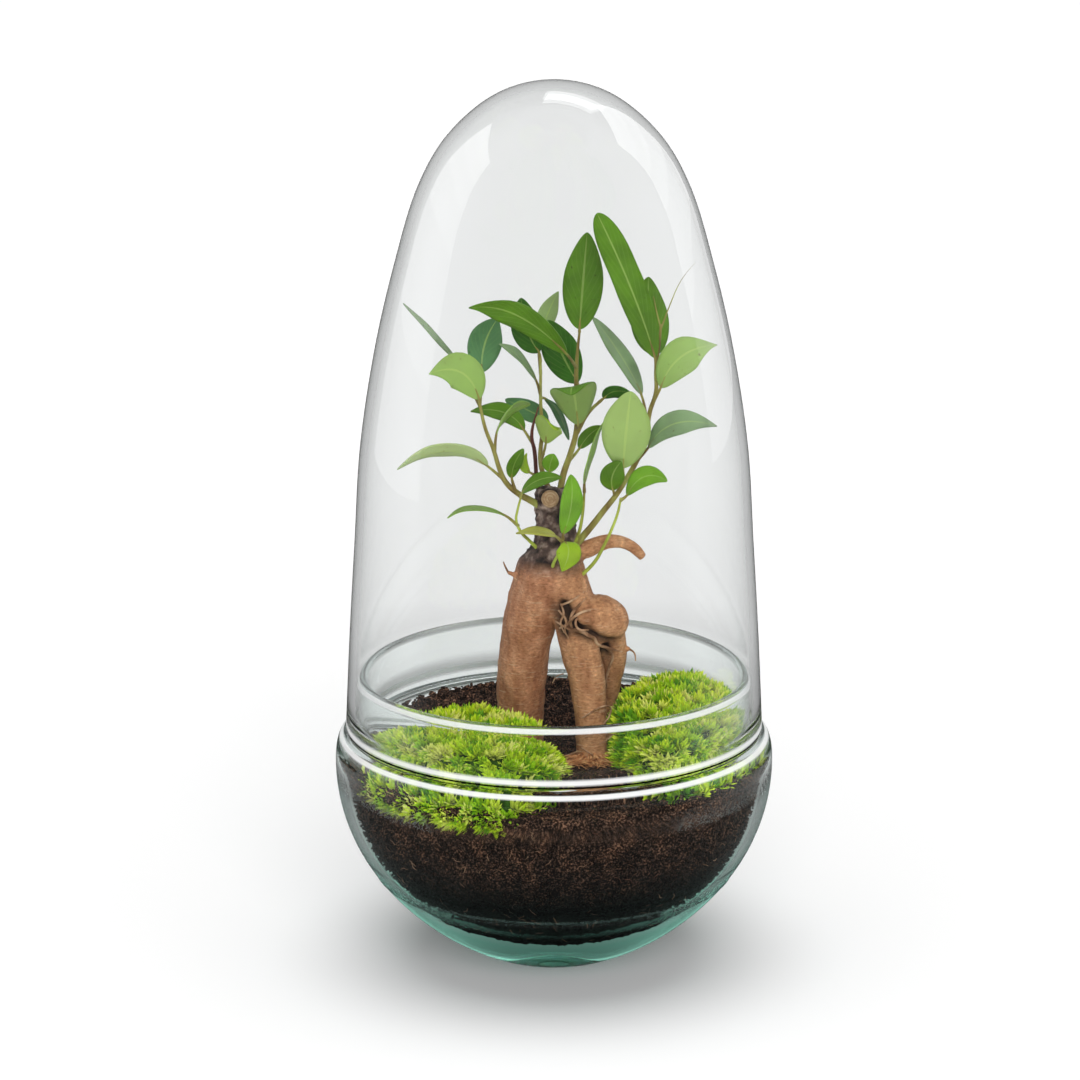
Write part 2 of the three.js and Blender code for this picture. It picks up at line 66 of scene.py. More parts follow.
# Floor: a matt white surface with a painted glow of its own, weakest near the bowl, wide enough to run out of
# sight on every side. Seen through the glass it glows grey with a painted shadow, darkest under the bowl, and
# what the glass mirrors of it is painted dim, most on the viewer's side.
FLOOR_HALF = 6
FLOOR_PAINTED_GLOW = (0.05, 0.3)
FLOOR_THROUGH_GLASS_PAINTED_SHADOW = [(0, 0.12), (60, 0.3), (100, 0.42), (180, 0.4), (300, 0.6), (450, 0.97)]
FLOOR_REACH = 500
FLOOR_MIRRORED_PAINTED_DIM = (0.06, 0.75)
FLOOR_ON_GLOSS_PAINTED_DIM = 0.05


def set_inputs(owner, name, inputs):
    """Gives the sockets of a node their values, or links them to what another node puts out."""
    node = owner.node_tree.nodes[name]
    for socket, value in inputs.items():
        if isinstance(value, bpy.types.NodeSocket):
            owner.node_tree.links.new(value, node.inputs[socket])
        else:
            node.inputs[socket].default_value = value
    return node


def add_node(owner, kind, inputs=None, **settings):
    node = owner.node_tree.nodes.new("ShaderNode" + kind)
    for name, value in settings.items():
        setattr(node, name, value)
    return set_inputs(owner, node.name, inputs or {})


def place_axes(owner, kind="Object"):
    """X, Y and Z of the place that is shaded, in metres."""
    place = add_node(owner, "TexCoord").outputs[kind]
    return add_node(owner, "SeparateXYZ", {0: place}).outputs


def map_range(owner, value, low, high, to_low=0, to_high=1):
    ends = {"Value": value, "From Min": low, "From Max": high, "To Min": to_low, "To Max": to_high}
    return add_node(owner, "MapRange", ends).outputs[0]


def calculate(owner, operation, first, second=0):
    return add_node(owner, "Math", {0: first, 1: second}, operation=operation).outputs[0]


def colour_ramp(owner, share, stops):
    """Runs through colours, each at its position from 0 to 1."""
    ramp = add_node(owner, "ValToRGB", {"Fac": share})
    while len(ramp.color_ramp.elements) < len(stops):
        ramp.color_ramp.elements.new(0.5)
    for element, (position, colour) in zip(ramp.color_ramp.elements, stops):
        element.position = position
        element.color = (*colour, 1)
    return ramp.outputs["Color"]


def mix_shaders(owner, share, first, second, **settings):
    return add_node(owner, "MixShader", {0: share, 1: first, 2: second}, **settings).outputs[0]


def new_material(name):
    material = bpy.data.materials.new(name)
    material.use_nodes = True
    return material


bpy.ops.mesh.primitive_plane_add(size=2 * FLOOR_HALF, location=(0, 0, -0.0002))
floor = bpy.context.object
floor.name = "floor"
floor_paint = new_material("white_floor")
floor_place = add_node(floor_paint, "TexCoord").outputs["Object"]
from_bowl = add_node(floor_paint, "VectorMath", {0: floor_place}, operation="LENGTH").outputs["Value"]
# Painted glow: the floor glows a little by itself, weakest near the bowl, which deepens the shadow under it.
matt = set_inputs(floor_paint, "Principled BSDF", {
    "Base Color": (0.9, 0.9, 0.9, 1),
    "Roughness": 1,
    "Specular IOR Level": 0,
    "Emission Color": (1, 1, 1, 1),
    "Emission Strength": map_range(floor_paint, from_bowl, 0.1, 0.6, *FLOOR_PAINTED_GLOW),
})
# Painted shadow: seen through the glass the floor is a grey glow, darkest under the bowl, and mirrored in the
# glass it is painted dim, most on the viewer's side.
floor_path = add_node(floor_paint, "LightPath").outputs
far_share = calculate(floor_paint, "MULTIPLY", from_bowl, 1000 / FLOOR_REACH)
greys = [(distance / FLOOR_REACH, (grey,) * 3) for distance, grey in FLOOR_THROUGH_GLASS_PAINTED_SHADOW]
mirrored = map_range(floor_paint, place_axes(floor_paint)["Y"], -0.25, -0.05, *FLOOR_MIRRORED_PAINTED_DIM)
through = add_node(floor_paint, "Emission", {
    "Color": colour_ramp(floor_paint, far_share, greys),
    "Strength": map_range(floor_paint, floor_path["Glossy Depth"], 0, 1, 1, mirrored),
})
dim = add_node(floor_paint, "Emission", {"Strength": FLOOR_ON_GLOSS_PAINTED_DIM})
unless_glossy = mix_shaders(floor_paint, floor_path["Is Glossy Ray"], matt.outputs[0], dim.outputs[0])
all_rays = mix_shaders(floor_paint, floor_path["Is Transmission Ray"], unless_glossy, through.outputs[0])
set_inputs(floor_paint, "Material Output", {"Surface": all_rays})
floor.data.materials.append(floor_paint)

# Surround: an even pale studio, brighter where it is seen straight through the glass than where it only
# lights the plant or is mirrored by the glass towards the viewer, so that the glass stays clear.
AIR_LIGHT = 0.25
AIR_ON_GLOSS = 0.1
AIR_SEEN = 1.0
AIR_THROUGH_GLASS = 0.95
AIR_MIRRORED = (0.04, 0.75)
surround = bpy.data.worlds.new("soft_surround")
bpy.context.scene.world = surround
surround.use_nodes = True
air_path = add_node(surround, "LightPath").outputs
mirrored = map_range(surround, place_axes(surround, "Generated")["Y"], -0.3, 0.2, *AIR_MIRRORED)
straight = map_range(surround, air_path["Glossy Depth"], 0, 1, AIR_THROUGH_GLASS, mirrored)
air_strength = AIR_LIGHT
for ray, strength in (
    ("Is Glossy Ray", AIR_ON_GLOSS), ("Is Camera Ray", AIR_SEEN), ("Is Transmission Ray", straight)
):
    air_strength = add_node(surround, "Mix", {0: air_path[ray], 2: air_strength, 3: strength}).outputs[0]
set_inputs(surround, "Background", {"Color": (1, 1, 1, 1), "Strength": air_strength})

# Lamps: two tall soft boxes beside the glass and one above it that only show as bright bands and lines in
# the glass, a fill from the front, and a wide soft light overhead that lays the shadow under the bowl.
# The tall boxes are built of strips that get stronger from foot to head, as the bands in the photo do.
BOX_STRIPS = 6
FOOT_SHARE = 0.25
TALL_BOXES = {
    "left": {"x": -0.773, "y": 0.207, "width": 0.7, "foot": 0.06, "head": 1.14, "watts": 5.6},
    "right": {"x": 0.651, "y": 0.465, "width": 0.66, "foot": 0.1, "head": 1.26, "watts": 6.6},
}


def soft_box(name, place, width, height, power, aim_z):
    bpy.ops.object.light_add(type="AREA", location=place)
    box = bpy.context.object
    box.name = name
    box.data.shape = "RECTANGLE"
    box.data.size = width
    box.data.size_y = height
    box.data.energy = power
    box.rotation_euler = (Vector((0, 0, aim_z)) - Vector(place)).to_track_quat("-Z", "Y").to_euler()
    box.visible_camera = False
    box.visible_transmission = False
    return box


for side, tall in TALL_BOXES.items():
    strip = (tall["head"] - tall["foot"]) / BOX_STRIPS
    for i in range(BOX_STRIPS):
        z = tall["foot"] + (i + 0.5) * strip
        watts = tall["watts"] * (FOOT_SHARE + (1 - FOOT_SHARE) * i / (BOX_STRIPS - 1)) / BOX_STRIPS
        box = soft_box(f"soft_box_{side}_{i + 1}", (tall["x"], tall["y"], z), tall["width"], strip, watts, z)
        box.visible_diffuse = False
top_box = soft_box("soft_box_top", (0.2, 0.7, 1.2), 0.6, 0.35, 1.2, 0.1)
top_box.visible_diffuse = False
top_box.visible_transmission = True
soft_box("front_fill", (0.15, -1.35, 0.75), 0.9, 0.9, 14, HALF_HEIGHT).visible_glossy = False
bpy.ops.object.light_add(type="SUN", location=(0, 0, 1))
overhead = bpy.context.object
overhead.name = "overhead"
overhead.data.angle = math.radians(50)
overhead.data.energy = 1.75
overhead.visible_glossy = False
overhead.visible_transmission = False

# Light paths: enough bends through two panes of glass and back, or the glass turns dark at its edges.
# Colours are shown as they are, with no film curve.
bpy.context.scene.view_settings.view_transform = "Standard"
light_paths = bpy.context.scene.cycles
light_paths.max_bounces = 18
light_paths.transmission_bounces = 16
light_paths.glossy_bounces = 6
light_paths.diffuse_bounces = 4
light_paths.transparent_max_bounces = 24

# Bowl: pressed soda glass, one piece, with a thick green-tinted floor, a ledge that carries the dome and
# a collar with a rounded rim, drawn as its cut outline and turned about the upright axis. Its low part
# bends light weakly, and damp soil wets its inner face, so that the soil shows at its true width.
MM = 0.001
BOWL_RADIUS = 74
BOWL_WIDEST_Z = 70
BOWL_WALL = 3.2
BOWL_FLOOR = 8.5
FLOOR_PULL = 34
WALL_PULL = 26
BASE_RADIUS = 14
LEDGE_RADIUS = 70.6
LEDGE_Z = 79.7
COLLAR_RADIUS = 66
COLLAR_INNER = 63
COLLAR_TOP = 101
COLLAR_BEAD = 1.7
COLLAR_BEAD_TALL = 1.4
MOULD_RING_Z = 30.8
MOULD_RING_HEIGHT = 0.25
WET_TO_Z = 34
WET_FADE = 12
SOFT_BELOW_Z = 66
SOFT_IOR = 1.05
SOFT_COAT = 0.3
RING_SHARE = 0.35
THICK_TINT = (0.5, 0.85, 0.74)
THICK_FROM_Z, THICK_TO_Z = 48, 20
# Painted highlight: a share of milky white on the collar's bead and the ledge's edge stands in for the bright
# lines the glass reflects there.
EDGE_HIGHLIGHT_SHARE = 0.75
BOWL_HIGHLIGHT_EDGES = [(98.7, 100.3, 64.6), (78.2, 79.6, 71)]
GLASS_IOR = 1.5
GLASS_STEPS = 144


def curve_points(start, start_handle, end_handle, end, steps):
    knots = [Vector((p[0], p[1], 0)) for p in (start, start_handle, end_handle, end)]
    return [(p.x, p.y) for p in geometry.interpolate_bezier(*knots, steps)]


def bead_points(centre, radius, first, last, steps, tall=1):
    angles = [math.radians(first + (last - first) * i / steps) for i in range(steps + 1)]
    return [(centre[0] + radius * math.cos(a), centre[1] + tall * radius * math.sin(a)) for a in angles]


def cavity_points(clearance, steps=40):
    widest = BOWL_RADIUS - BOWL_WALL - clearance
    low = BOWL_FLOOR + clearance
    wall = curve_points((0, low), (FLOOR_PULL, low), (widest, WALL_PULL), (widest, BOWL_WIDEST_Z), steps)
    neck_start = (COLLAR_INNER + 3 - clearance, 76.5 - clearance)
    neck_end = (COLLAR_INNER - clearance, 80 - clearance)
    return wall + curve_points((widest, BOWL_WIDEST_Z), (widest, 75), neck_start, neck_end, 10)[1:]


def cavity_spread(height):
    """Radius of the room inside the bowl in mm at a height below the widest part."""
    return min((r for r, z in cavity_points(0) if z >= height), default=0)


def select_only(piece):
    bpy.ops.object.select_all(action="DESELECT")
    bpy.context.view_layer.objects.active = piece
    piece.select_set(True)


def spin_outline(name, outline, steps):
    """An outline of (radius, height) in mm that starts and ends on the axis, or closes, turned full circle."""
    mesh = bpy.data.meshes.new(name)
    points = [(r * MM, 0, z * MM) for r, z in outline]
    edges = [(i, i + 1) for i in range(len(points) - 1)]
    if outline[0][0] > 0.01:
        edges.append((len(points) - 1, 0))
    mesh.from_pydata(points, edges, [])
    piece = bpy.data.objects.new(name, mesh)
    bpy.context.collection.objects.link(piece)
    select_only(piece)
    bpy.ops.object.mode_set(mode="EDIT")
    bpy.ops.mesh.select_all(action="SELECT")
    bpy.ops.mesh.spin(steps=steps, angle=2 * math.pi, center=(0, 0, 0), axis=(0, 0, 1))
    bpy.ops.mesh.select_all(action="SELECT")
    bpy.ops.mesh.remove_doubles(threshold=0.000002)
    bpy.ops.mesh.dissolve_degenerate(threshold=0.000001)
    bpy.ops.mesh.normals_make_consistent(inside=False)
    bpy.ops.object.mode_set(mode="OBJECT")
    bpy.ops.object.shade_smooth_by_angle(angle=math.radians(35))
    return piece


def clear_glass(name, tint, depth_tint, depth_strength):
    """Clear glass that lets light through to what is inside, and takes on a tint where it is thick."""
    finish = new_material(name)
    glass = set_inputs(finish, "Principled BSDF", {
        "Base Color": tint, "Roughness": 0, "IOR": GLASS_IOR, "Transmission Weight": 1,
    })
    see_through = add_node(finish, "BsdfTransparent", {"Color": tint})
    path = add_node(finish, "LightPath").outputs
    lighting = calculate(finish, "MAXIMUM", path["Is Shadow Ray"], path["Is Diffuse Ray"])
    choice = mix_shaders(finish, lighting, glass.outputs[0], see_through.outputs[0], name="choice")
    depth = add_node(finish, "VolumeAbsorption", {"Color": depth_tint, "Density": depth_strength})
    set_inputs(finish, "Material Output", {"Surface": choice, "Volume": depth.outputs[0]})
    return finish


def blend_colours(finish, share, first, second, kind="MIX"):
    first, second = ((*colour, 1) if isinstance(colour, tuple) else colour for colour in (first, second))
    mix = add_node(finish, "Mix", {0: share}, data_type="RGBA", blend_type=kind)
    return set_inputs(finish, mix.name, {6: first, 7: second}).outputs[2]


def spread_and_height(vertex):
    """How far a point is from the upright axis, and how high it is, in mm."""
    return math.hypot(vertex.co.x, vertex.co.y) / MM, vertex.co.z / MM


def paint_shares(piece, layer, shares):
    """Gives each point of a piece a share from 0 to 1 that its finish can read."""
    spots = piece.data.color_attributes.new(layer, "FLOAT_COLOR", "POINT").data
    for spot, share in zip(spots, shares):
        spot.color = (share, share, share, 1)


def read_paint(finish, layer):
    return add_node(finish, "VertexColor", layer_name=layer).outputs["Color"]


def soften_below(finish, edge, ring):
    """Weaker refraction below a height, except in a thin ring, both in mm, and none where soil wets it."""
    strong = finish.node_tree.nodes["Principled BSDF"]
    height = place_axes(finish)["Z"]
    thick_part = map_range(finish, height, THICK_FROM_Z * MM, THICK_TO_Z * MM)
    thin_tint = tuple(strong.inputs["Base Color"].default_value)[:3]
    weak = add_node(finish, "BsdfPrincipled", {
        "Base Color": blend_colours(finish, thick_part, thin_tint, THICK_TINT),
        "Roughness": 0,
        "Transmission Weight": 1,
        "IOR": SOFT_IOR,
        "Coat Weight": SOFT_COAT,
        "Coat Roughness": 0,
        "Coat IOR": GLASS_IOR,
    })
    stops = (
        (0, 0), (ring - 0.9, 0), (ring - 0.4, RING_SHARE), (ring + 0.4, RING_SHARE), (ring + 0.9, 0),
        (edge - 4, 0), (edge + 4, 1),
    )
    share = calculate(finish, "MULTIPLY", height, 10)
    strong_share = colour_ramp(finish, share, [(z / 100, (value,) * 3) for z, value in stops])
    blend = mix_shaders(finish, strong_share, weak.outputs[0], strong.outputs[0])
    bare = add_node(finish, "BsdfTransparent").outputs[0]
    lined = mix_shaders(finish, read_paint(finish, "lining"), blend, bare)
    set_inputs(finish, "choice", {1: lined})


def paint_edge_highlights(piece, finish, edges):
    """Bands of (low, high, least radius) in mm painted with a milky white highlight, for the bright lines the
    edges reflect.
    """
    places = [spread_and_height(vertex) for vertex in piece.data.vertices]
    highlighted = [any(low <= z <= high and spread >= least for low, high, least in edges) for spread, z in places]
    paint_shares(piece, "edge", [EDGE_HIGHLIGHT_SHARE * share for share in highlighted])
    highlight_white = add_node(finish, "BsdfDiffuse", {"Color": (0.95, 0.95, 0.95, 1)}).outputs[0]
    clear = finish.node_tree.nodes["choice"].outputs[0]
    highlighted_glass = mix_shaders(finish, read_paint(finish, "edge"), clear, highlight_white)
    set_inputs(finish, "Material Output", {"Surface": highlighted_glass})


bead_centre = ((COLLAR_RADIUS + COLLAR_INNER) / 2, COLLAR_TOP - COLLAR_BEAD * COLLAR_BEAD_TALL)
bowl_outside = [
    (r + MOULD_RING_HEIGHT * math.exp(-(((z - MOULD_RING_Z) / 0.6) ** 2)), z)
    for r, z in curve_points((BASE_RADIUS, 0), (27, 0), (BOWL_RADIUS, 24), (BOWL_RADIUS, BOWL_WIDEST_Z), 180)
]
bowl_shoulder = curve_points(
    (BOWL_RADIUS, BOWL_WIDEST_Z), (BOWL_RADIUS, 75), (73, LEDGE_Z), (LEDGE_RADIUS, LEDGE_Z), 14
)
ledge_corner = curve_points(
    (COLLAR_RADIUS + 1, LEDGE_Z), (COLLAR_RADIUS + 0.2, LEDGE_Z), (COLLAR_RADIUS, LEDGE_Z + 0.2),
    (COLLAR_RADIUS, LEDGE_Z + 1), 5,
)
bowl_outline = (
    [(0, 0)]
    + bowl_outside
    + bowl_shoulder[1:]
    + ledge_corner
    + bead_points(bead_centre, COLLAR_BEAD, -25, 205, 20, COLLAR_BEAD_TALL)
    + cavity_points(0)[::-1]
)
bowl = spin_outline("bowl", bowl_outline, GLASS_STEPS)
wet_shares = []
for vertex in bowl.data.vertices:
    spread, z = spread_and_height(vertex)
    inside = z >= BOWL_FLOOR - 0.01 and spread < cavity_spread(z) + 0.3
    wet_shares.append(min(max((WET_TO_Z - z) / WET_FADE, 0), 1) if inside else 0)
paint_shares(bowl, "lining", wet_shares)
green_glass = clear_glass("green_glass", (0.985, 0.995, 0.99, 1), (0.12, 0.91, 0.72, 1), 8)
soften_below(green_glass, SOFT_BELOW_Z, MOULD_RING_Z)
paint_edge_highlights(bowl, green_glass, BOWL_HIGHLIGHT_EDGES)
bowl.data.materials.append(green_glass)
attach(bowl, "root")
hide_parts("glass_bowl")

# Dome: thin blown glass, a loose lid whose rounded lip stands on the bowl's ledge outside the collar.
# Its outline is one smooth curve from crown to lip, with the same curve one wall in and a thicker lip.
DOME_HEIGHT = 300
DOME_WALL = 2.6
DOME_LIP = 70.4
LIP_GAP = 0.3
LIP_BULGE = 0.8
DOME_OUTLINE = [
    (18.5, 295.6), (34.5, 282.4), (44.8, 264.8), (52.3, 240.5), (59.1, 212), (64.4, 179), (66.7, 146),
    (68.8, 113),
]
# Painted highlight: milky white on the dome just above its lip, for the bright line it reflects.
DOME_HIGHLIGHT_EDGES = [(82.4, 84, 69)]


def smooth_through(points, steps):
    """A smooth curve through the points, from the second to the last."""
    result = []
    for i in range(1, len(points) - 1):
        before, here, there = points[i - 1], points[i], points[i + 1]
        after = points[min(i + 2, len(points) - 1)]
        for s in range(steps):
            t = s / steps
            slopes = [((c - a) / 2, (d - b) / 2) for a, b, c, d in zip(before, here, there, after)]
            result.append(
                tuple(
                    (2 * b - 2 * c + v + w) * t**3 + (-3 * b + 3 * c - 2 * v - w) * t**2 + v * t + b
                    for b, c, (v, w) in zip(here, there, slopes)
                )
            )
    return result + [points[-1]]


lip_radius = DOME_WALL / 2
lip_z = LEDGE_Z + LIP_GAP + lip_radius
crown_mirror = (-DOME_OUTLINE[0][0], DOME_OUTLINE[0][1])
dome_outside = smooth_through([crown_mirror, (0, DOME_HEIGHT), *DOME_OUTLINE, (DOME_LIP, lip_z)], 24)
dome_inside = []
for i, (r, z) in enumerate(dome_outside):
    before, after = dome_outside[max(i - 1, 0)], dome_outside[min(i + 1, len(dome_outside) - 1)]
    along = Vector((after[0] - before[0], after[1] - before[1])).normalized()
    bulge = LIP_BULGE * math.exp(-(((z - lip_z - 1.5) / 3) ** 2))
    dome_inside.append((max(r + (DOME_WALL + bulge) * along.y, 0), z - DOME_WALL * along.x))
dome_inside[0] = (0, DOME_HEIGHT - DOME_WALL)
lip = bead_points((DOME_LIP - lip_radius, lip_z), lip_radius, 0, -180, 10)[1:-1]
dome = spin_outline("dome", dome_outside + lip + dome_inside[::-1], GLASS_STEPS)
dome_glass = clear_glass("clear_glass", (0.985, 0.988, 0.988, 1), (0.55, 0.8, 0.75, 1), 6)
paint_edge_highlights(dome, dome_glass, DOME_HIGHLIGHT_EDGES)
dome.data.materials.append(dome_glass)
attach(dome, "root")
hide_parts("glass_dome")

# Potting soil: dark peat with crumbs and brown fibres, filled into the bowl by hand, highest at the back.
# It stands a little off the glass, and its surface is raised and hollowed by noise of two sizes.
SOIL_GAP = 0.5
SOIL_LEVEL = 75.5
SOIL_RISE = 2.5
SOIL_SLOPE = 0.045
SOIL_STEPS = 400
SOIL_WALL_FROM = 40
ROOM = cavity_points(0, 60) + [(COLLAR_INNER, 110)]


def room_radius(height, clearance):
    """Inner radius of the bowl in mm at a height, less a clearance."""
    for low, high in zip(ROOM, ROOM[1:]):
        if low[1] < high[1] and low[1] <= height <= high[1]:
            return low[0] + (high[0] - low[0]) * (height - low[1]) / (high[1] - low[1]) - clearance
    return (COLLAR_INNER if height > 80 else 0) - clearance


def soil_height(x, y):
    """Height of the soil in mm above the table at a place in mm."""
    share = min(math.hypot(x, y) / BOWL_RADIUS, 1)
    wave = noise.noise(Vector((x, y, 0)) / 11) * 1.5 + noise.noise(Vector((x, y, 9)) / 4.5) * 0.8
    return SOIL_LEVEL + SOIL_SLOPE * y + SOIL_RISE * (1 - share * share) + wave


def apply_all(piece):
    select_only(piece)
    for modifier in list(piece.modifiers):
        bpy.ops.object.modifier_apply(modifier=modifier.name)


def roughen(piece, size, strength, level, group=""):
    """Raises the surface of a piece by cloud noise of a size and strength in mm."""
    clouds = bpy.data.textures.new(piece.name + "_clouds", "CLOUDS")
    clouds.noise_scale = size * MM
    clouds.noise_depth = 3
    raised = piece.modifiers.new("raised", "DISPLACE")
    raised.texture = clouds
    raised.texture_coords = "LOCAL"
    raised.strength = strength * MM
    raised.mid_level = level
    raised.vertex_group = group
    apply_all(piece)


soil_wall = [p for p in cavity_points(SOIL_GAP, 90) if p[1] <= BOWL_WIDEST_Z]
soil_edge, soil_edge_z = soil_wall[-1]
soil_top = [(soil_edge * (1 - i / 75), soil_edge_z) for i in range(1, 76)]
soil = spin_outline("potting_soil", soil_wall + soil_top, SOIL_STEPS)
for vertex in soil.data.vertices:
    x, y, z = vertex.co / MM
    spread = math.hypot(x, y)
    if z < SOIL_WALL_FROM or spread == 0:
        if z > SOIL_WALL_FROM:
            vertex.co.z = soil_height(0, 0) * MM
        continue
    out_x, out_y = x / spread, y / spread
    rim = soil_height(soil_edge * out_x, soil_edge * out_y)
    if z > soil_edge_z - 0.01:
        new_spread = room_radius(rim, SOIL_GAP) * spread / soil_edge
        new_z = rim if spread > soil_edge - 0.01 else soil_height(new_spread * out_x, new_spread * out_y)
    else:
        new_z = SOIL_WALL_FROM + (z - SOIL_WALL_FROM) * (rim - SOIL_WALL_FROM) / (soil_edge_z - SOIL_WALL_FROM)
        new_spread = room_radius(new_z, SOIL_GAP)
    vertex.co = Vector((new_spread * out_x, new_spread * out_y, new_z)) * MM
roughen(soil, 3.5, 2.2, 1.0)
roughen(soil, 1.2, 1.3, 1.0)


def stain(finish, scale, stops, stretch=(1, 1, 1), detail=6):
    """A noise pattern on object coordinates, with its colours; gives the colour output."""
    place = add_node(finish, "TexCoord").outputs["Object"]
    stretched = add_node(finish, "Mapping", {"Vector": place, "Scale": stretch}).outputs["Vector"]
    pattern = add_node(finish, "TexNoise", {"Vector": stretched, "Scale": scale, "Detail": detail})
    return colour_ramp(finish, pattern.outputs["Fac"], stops)


def along_axis(finish, axis, low, high):
    """Rises from 0 to 1 between two places on an object axis, in mm."""
    return map_range(finish, place_axes(finish)[axis], low * MM, high * MM)


def add_bump(finish, height, strength, distance):
    bump = add_node(finish, "Bump", {"Height": height, "Strength": strength, "Distance": distance * MM})
    set_inputs(finish, "Principled BSDF", {"Normal": bump.outputs["Normal"]})


def new_finish(name, roughness, specular):
    finish = new_material(name)
    set_inputs(finish, "Principled BSDF", {"Roughness": roughness, "Specular IOR Level": specular})
    return finish


def set_colour(finish, colour):
    set_inputs(finish, "Principled BSDF", {"Base Color": colour})


def stained_finish(name, roughness, specular, scale, stops, **pattern):
    finish = new_finish(name, roughness, specular)
    set_colour(finish, stain(finish, scale, stops, **pattern))
    return finish


def peat_finish():
    finish = new_finish("peat", 0.95, 0.15)
    lumps = [(0.36, (0.006, 0.004, 0.003)), (0.52, (0.035, 0.02, 0.014)), (0.66, (0.27, 0.165, 0.115))]
    crumbs = stain(finish, 1500, lumps, detail=3)
    browner = stain(finish, 190, [(0.45, (0.6, 0.55, 0.55)), (0.65, (1.5, 1.25, 1.1))], detail=4)
    unshaded_peat = blend_colours(finish, 1.0, crumbs, browner, "MULTIPLY")
    # Painted shade: the peat fades to near black towards the bottom of the bowl, where little light reaches it.
    set_colour(finish, blend_colours(finish, along_axis(finish, "Z", 36, 76), (0.001, 0.001, 0.001), unshaded_peat))
    add_bump(finish, crumbs, 0.8, 0.7)
    return finish


peat = peat_finish()
soil.data.materials.append(peat)
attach(soil, "root")
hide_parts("soil")

# Crumbs: loose lumps of peat on top of the soil and along the glass, 1 to 4 mm across and mostly small.
# Each is a rough lump from one of three patterns, turned and stretched at random.
TOP_CRUMBS = 5000
SIDE_CRUMBS = 4600


def scatter_copies(name, models, picks, places, finish):
    """Copies of like small meshes, one for each 4x4 matrix, as one piece with one mesh."""
    shapes = np.array([[(*v.co, 1) for v in model.vertices] for model in models])
    faces_of_one = np.array([tuple(p.vertices) for p in models[0].polygons])
    points = np.einsum("nij,nvj->nvi", np.array(places), shapes[picks])[:, :, :3].reshape(-1, 3)
    offsets = np.arange(len(places))[:, None, None] * shapes.shape[1]
    faces = (faces_of_one[None] + offsets).reshape(-1, faces_of_one.shape[1])
    mesh = bpy.data.meshes.new(name)
    mesh.from_pydata(points.tolist(), [], faces.tolist())
    piece = bpy.data.objects.new(name, mesh)
    bpy.context.collection.objects.link(piece)
    mesh.materials.append(finish)
    return piece


def crumb_model(seed):
    draws = random.Random(seed)
    bpy.ops.mesh.primitive_ico_sphere_add(subdivisions=1, radius=1)
    lump = bpy.context.object
    for vertex in lump.data.vertices:
        vertex.co *= 1 + draws.uniform(-0.35, 0.35)
    mesh = lump.data
    bpy.data.objects.remove(lump)
    return mesh


def random_turn(draws):
    axis = Vector((draws.gauss(0, 1), draws.gauss(0, 1), draws.gauss(0, 1))).normalized()
    return Matrix.Rotation(draws.uniform(0, 6.3), 4, axis)


def crumb_place(draws, spot, size):
    sides = (size, size * draws.uniform(0.6, 1), size * draws.uniform(0.5, 0.9))
    stretch = Matrix.Diagonal((*(side * MM for side in sides), 1))
    return Matrix.Translation(Vector(spot) * MM) @ random_turn(draws) @ stretch


crumb_models = [crumb_model(seed) for seed in (3, 4, 5)]
draw = random.Random(7)
top_places = []
while len(top_places) < TOP_CRUMBS:
    x, y = draw.uniform(-66, 66), draw.uniform(-66, 66)
    size = 0.45 + 1.5 * draw.random() ** 4
    height = soil_height(x, y) - 1.1 + 0.5 * size
    if math.hypot(x, y) + size + 0.4 < room_radius(height, SOIL_GAP):
        top_places.append(crumb_place(draw, (x, y, height), size))
side_places = []
while len(side_places) < SIDE_CRUMBS:
    angle, height = draw.uniform(0, 2 * math.pi), draw.uniform(26, 78)
    size = 0.4 + 1.3 * draw.random() ** 3
    spread = room_radius(height, SOIL_GAP + 0.2) - 1.25 * size
    x, y = spread * math.cos(angle), spread * math.sin(angle)
    if height < soil_height(x, y) - 0.5 * size and room_radius(height - 1, 0) > 0:
        side_places.append(crumb_place(draw, (x, y, height), size))
for name, places in (("soil_crumbs", top_places), ("soil_crumbs_at_the_glass", side_places)):
    picks = [draw.randrange(3) for _ in places]
    crumbs = scatter_copies(name, crumb_models, picks, places, peat)
    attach(crumbs, "root")

# Fibres: thin curved bits of root and straw, reddish to pale brown, lying in and on the peat.
# Each is a bent three-sided strand.
FIBRES = 900


def built_mesh(builder, name):
    """Turns the faces of what was built outward and gives its mesh."""
    bmesh.ops.recalc_face_normals(builder, faces=builder.faces)
    mesh = bpy.data.meshes.new(name)
    builder.to_mesh(mesh)
    builder.free()
    return mesh


def fibre_model(seed):
    draws = random.Random(seed)
    builder = bmesh.new()
    rings = []
    for i in range(5):
        t = i / 4 - 0.5
        middle = Vector((t, (0.25 - t * t) * draws.uniform(-0.3, 0.7), 0.2 * (0.25 - t * t)))
        thick = 0.024 if 0 < i < 4 else 0.006
        corners = [(thick * math.cos(a), thick * math.sin(a)) for a in (0.5, 2.6, 4.7)]
        rings.append([builder.verts.new(middle + Vector((0, a, b))) for a, b in corners])
    for near, far in zip(rings, rings[1:]):
        for j in range(3):
            builder.faces.new((near[j], near[(j + 1) % 3], far[(j + 1) % 3]))
            builder.faces.new((near[j], far[(j + 1) % 3], far[j]))
    builder.faces.new(rings[0][::-1])
    builder.faces.new(rings[-1])
    return built_mesh(builder, "fibre_model")


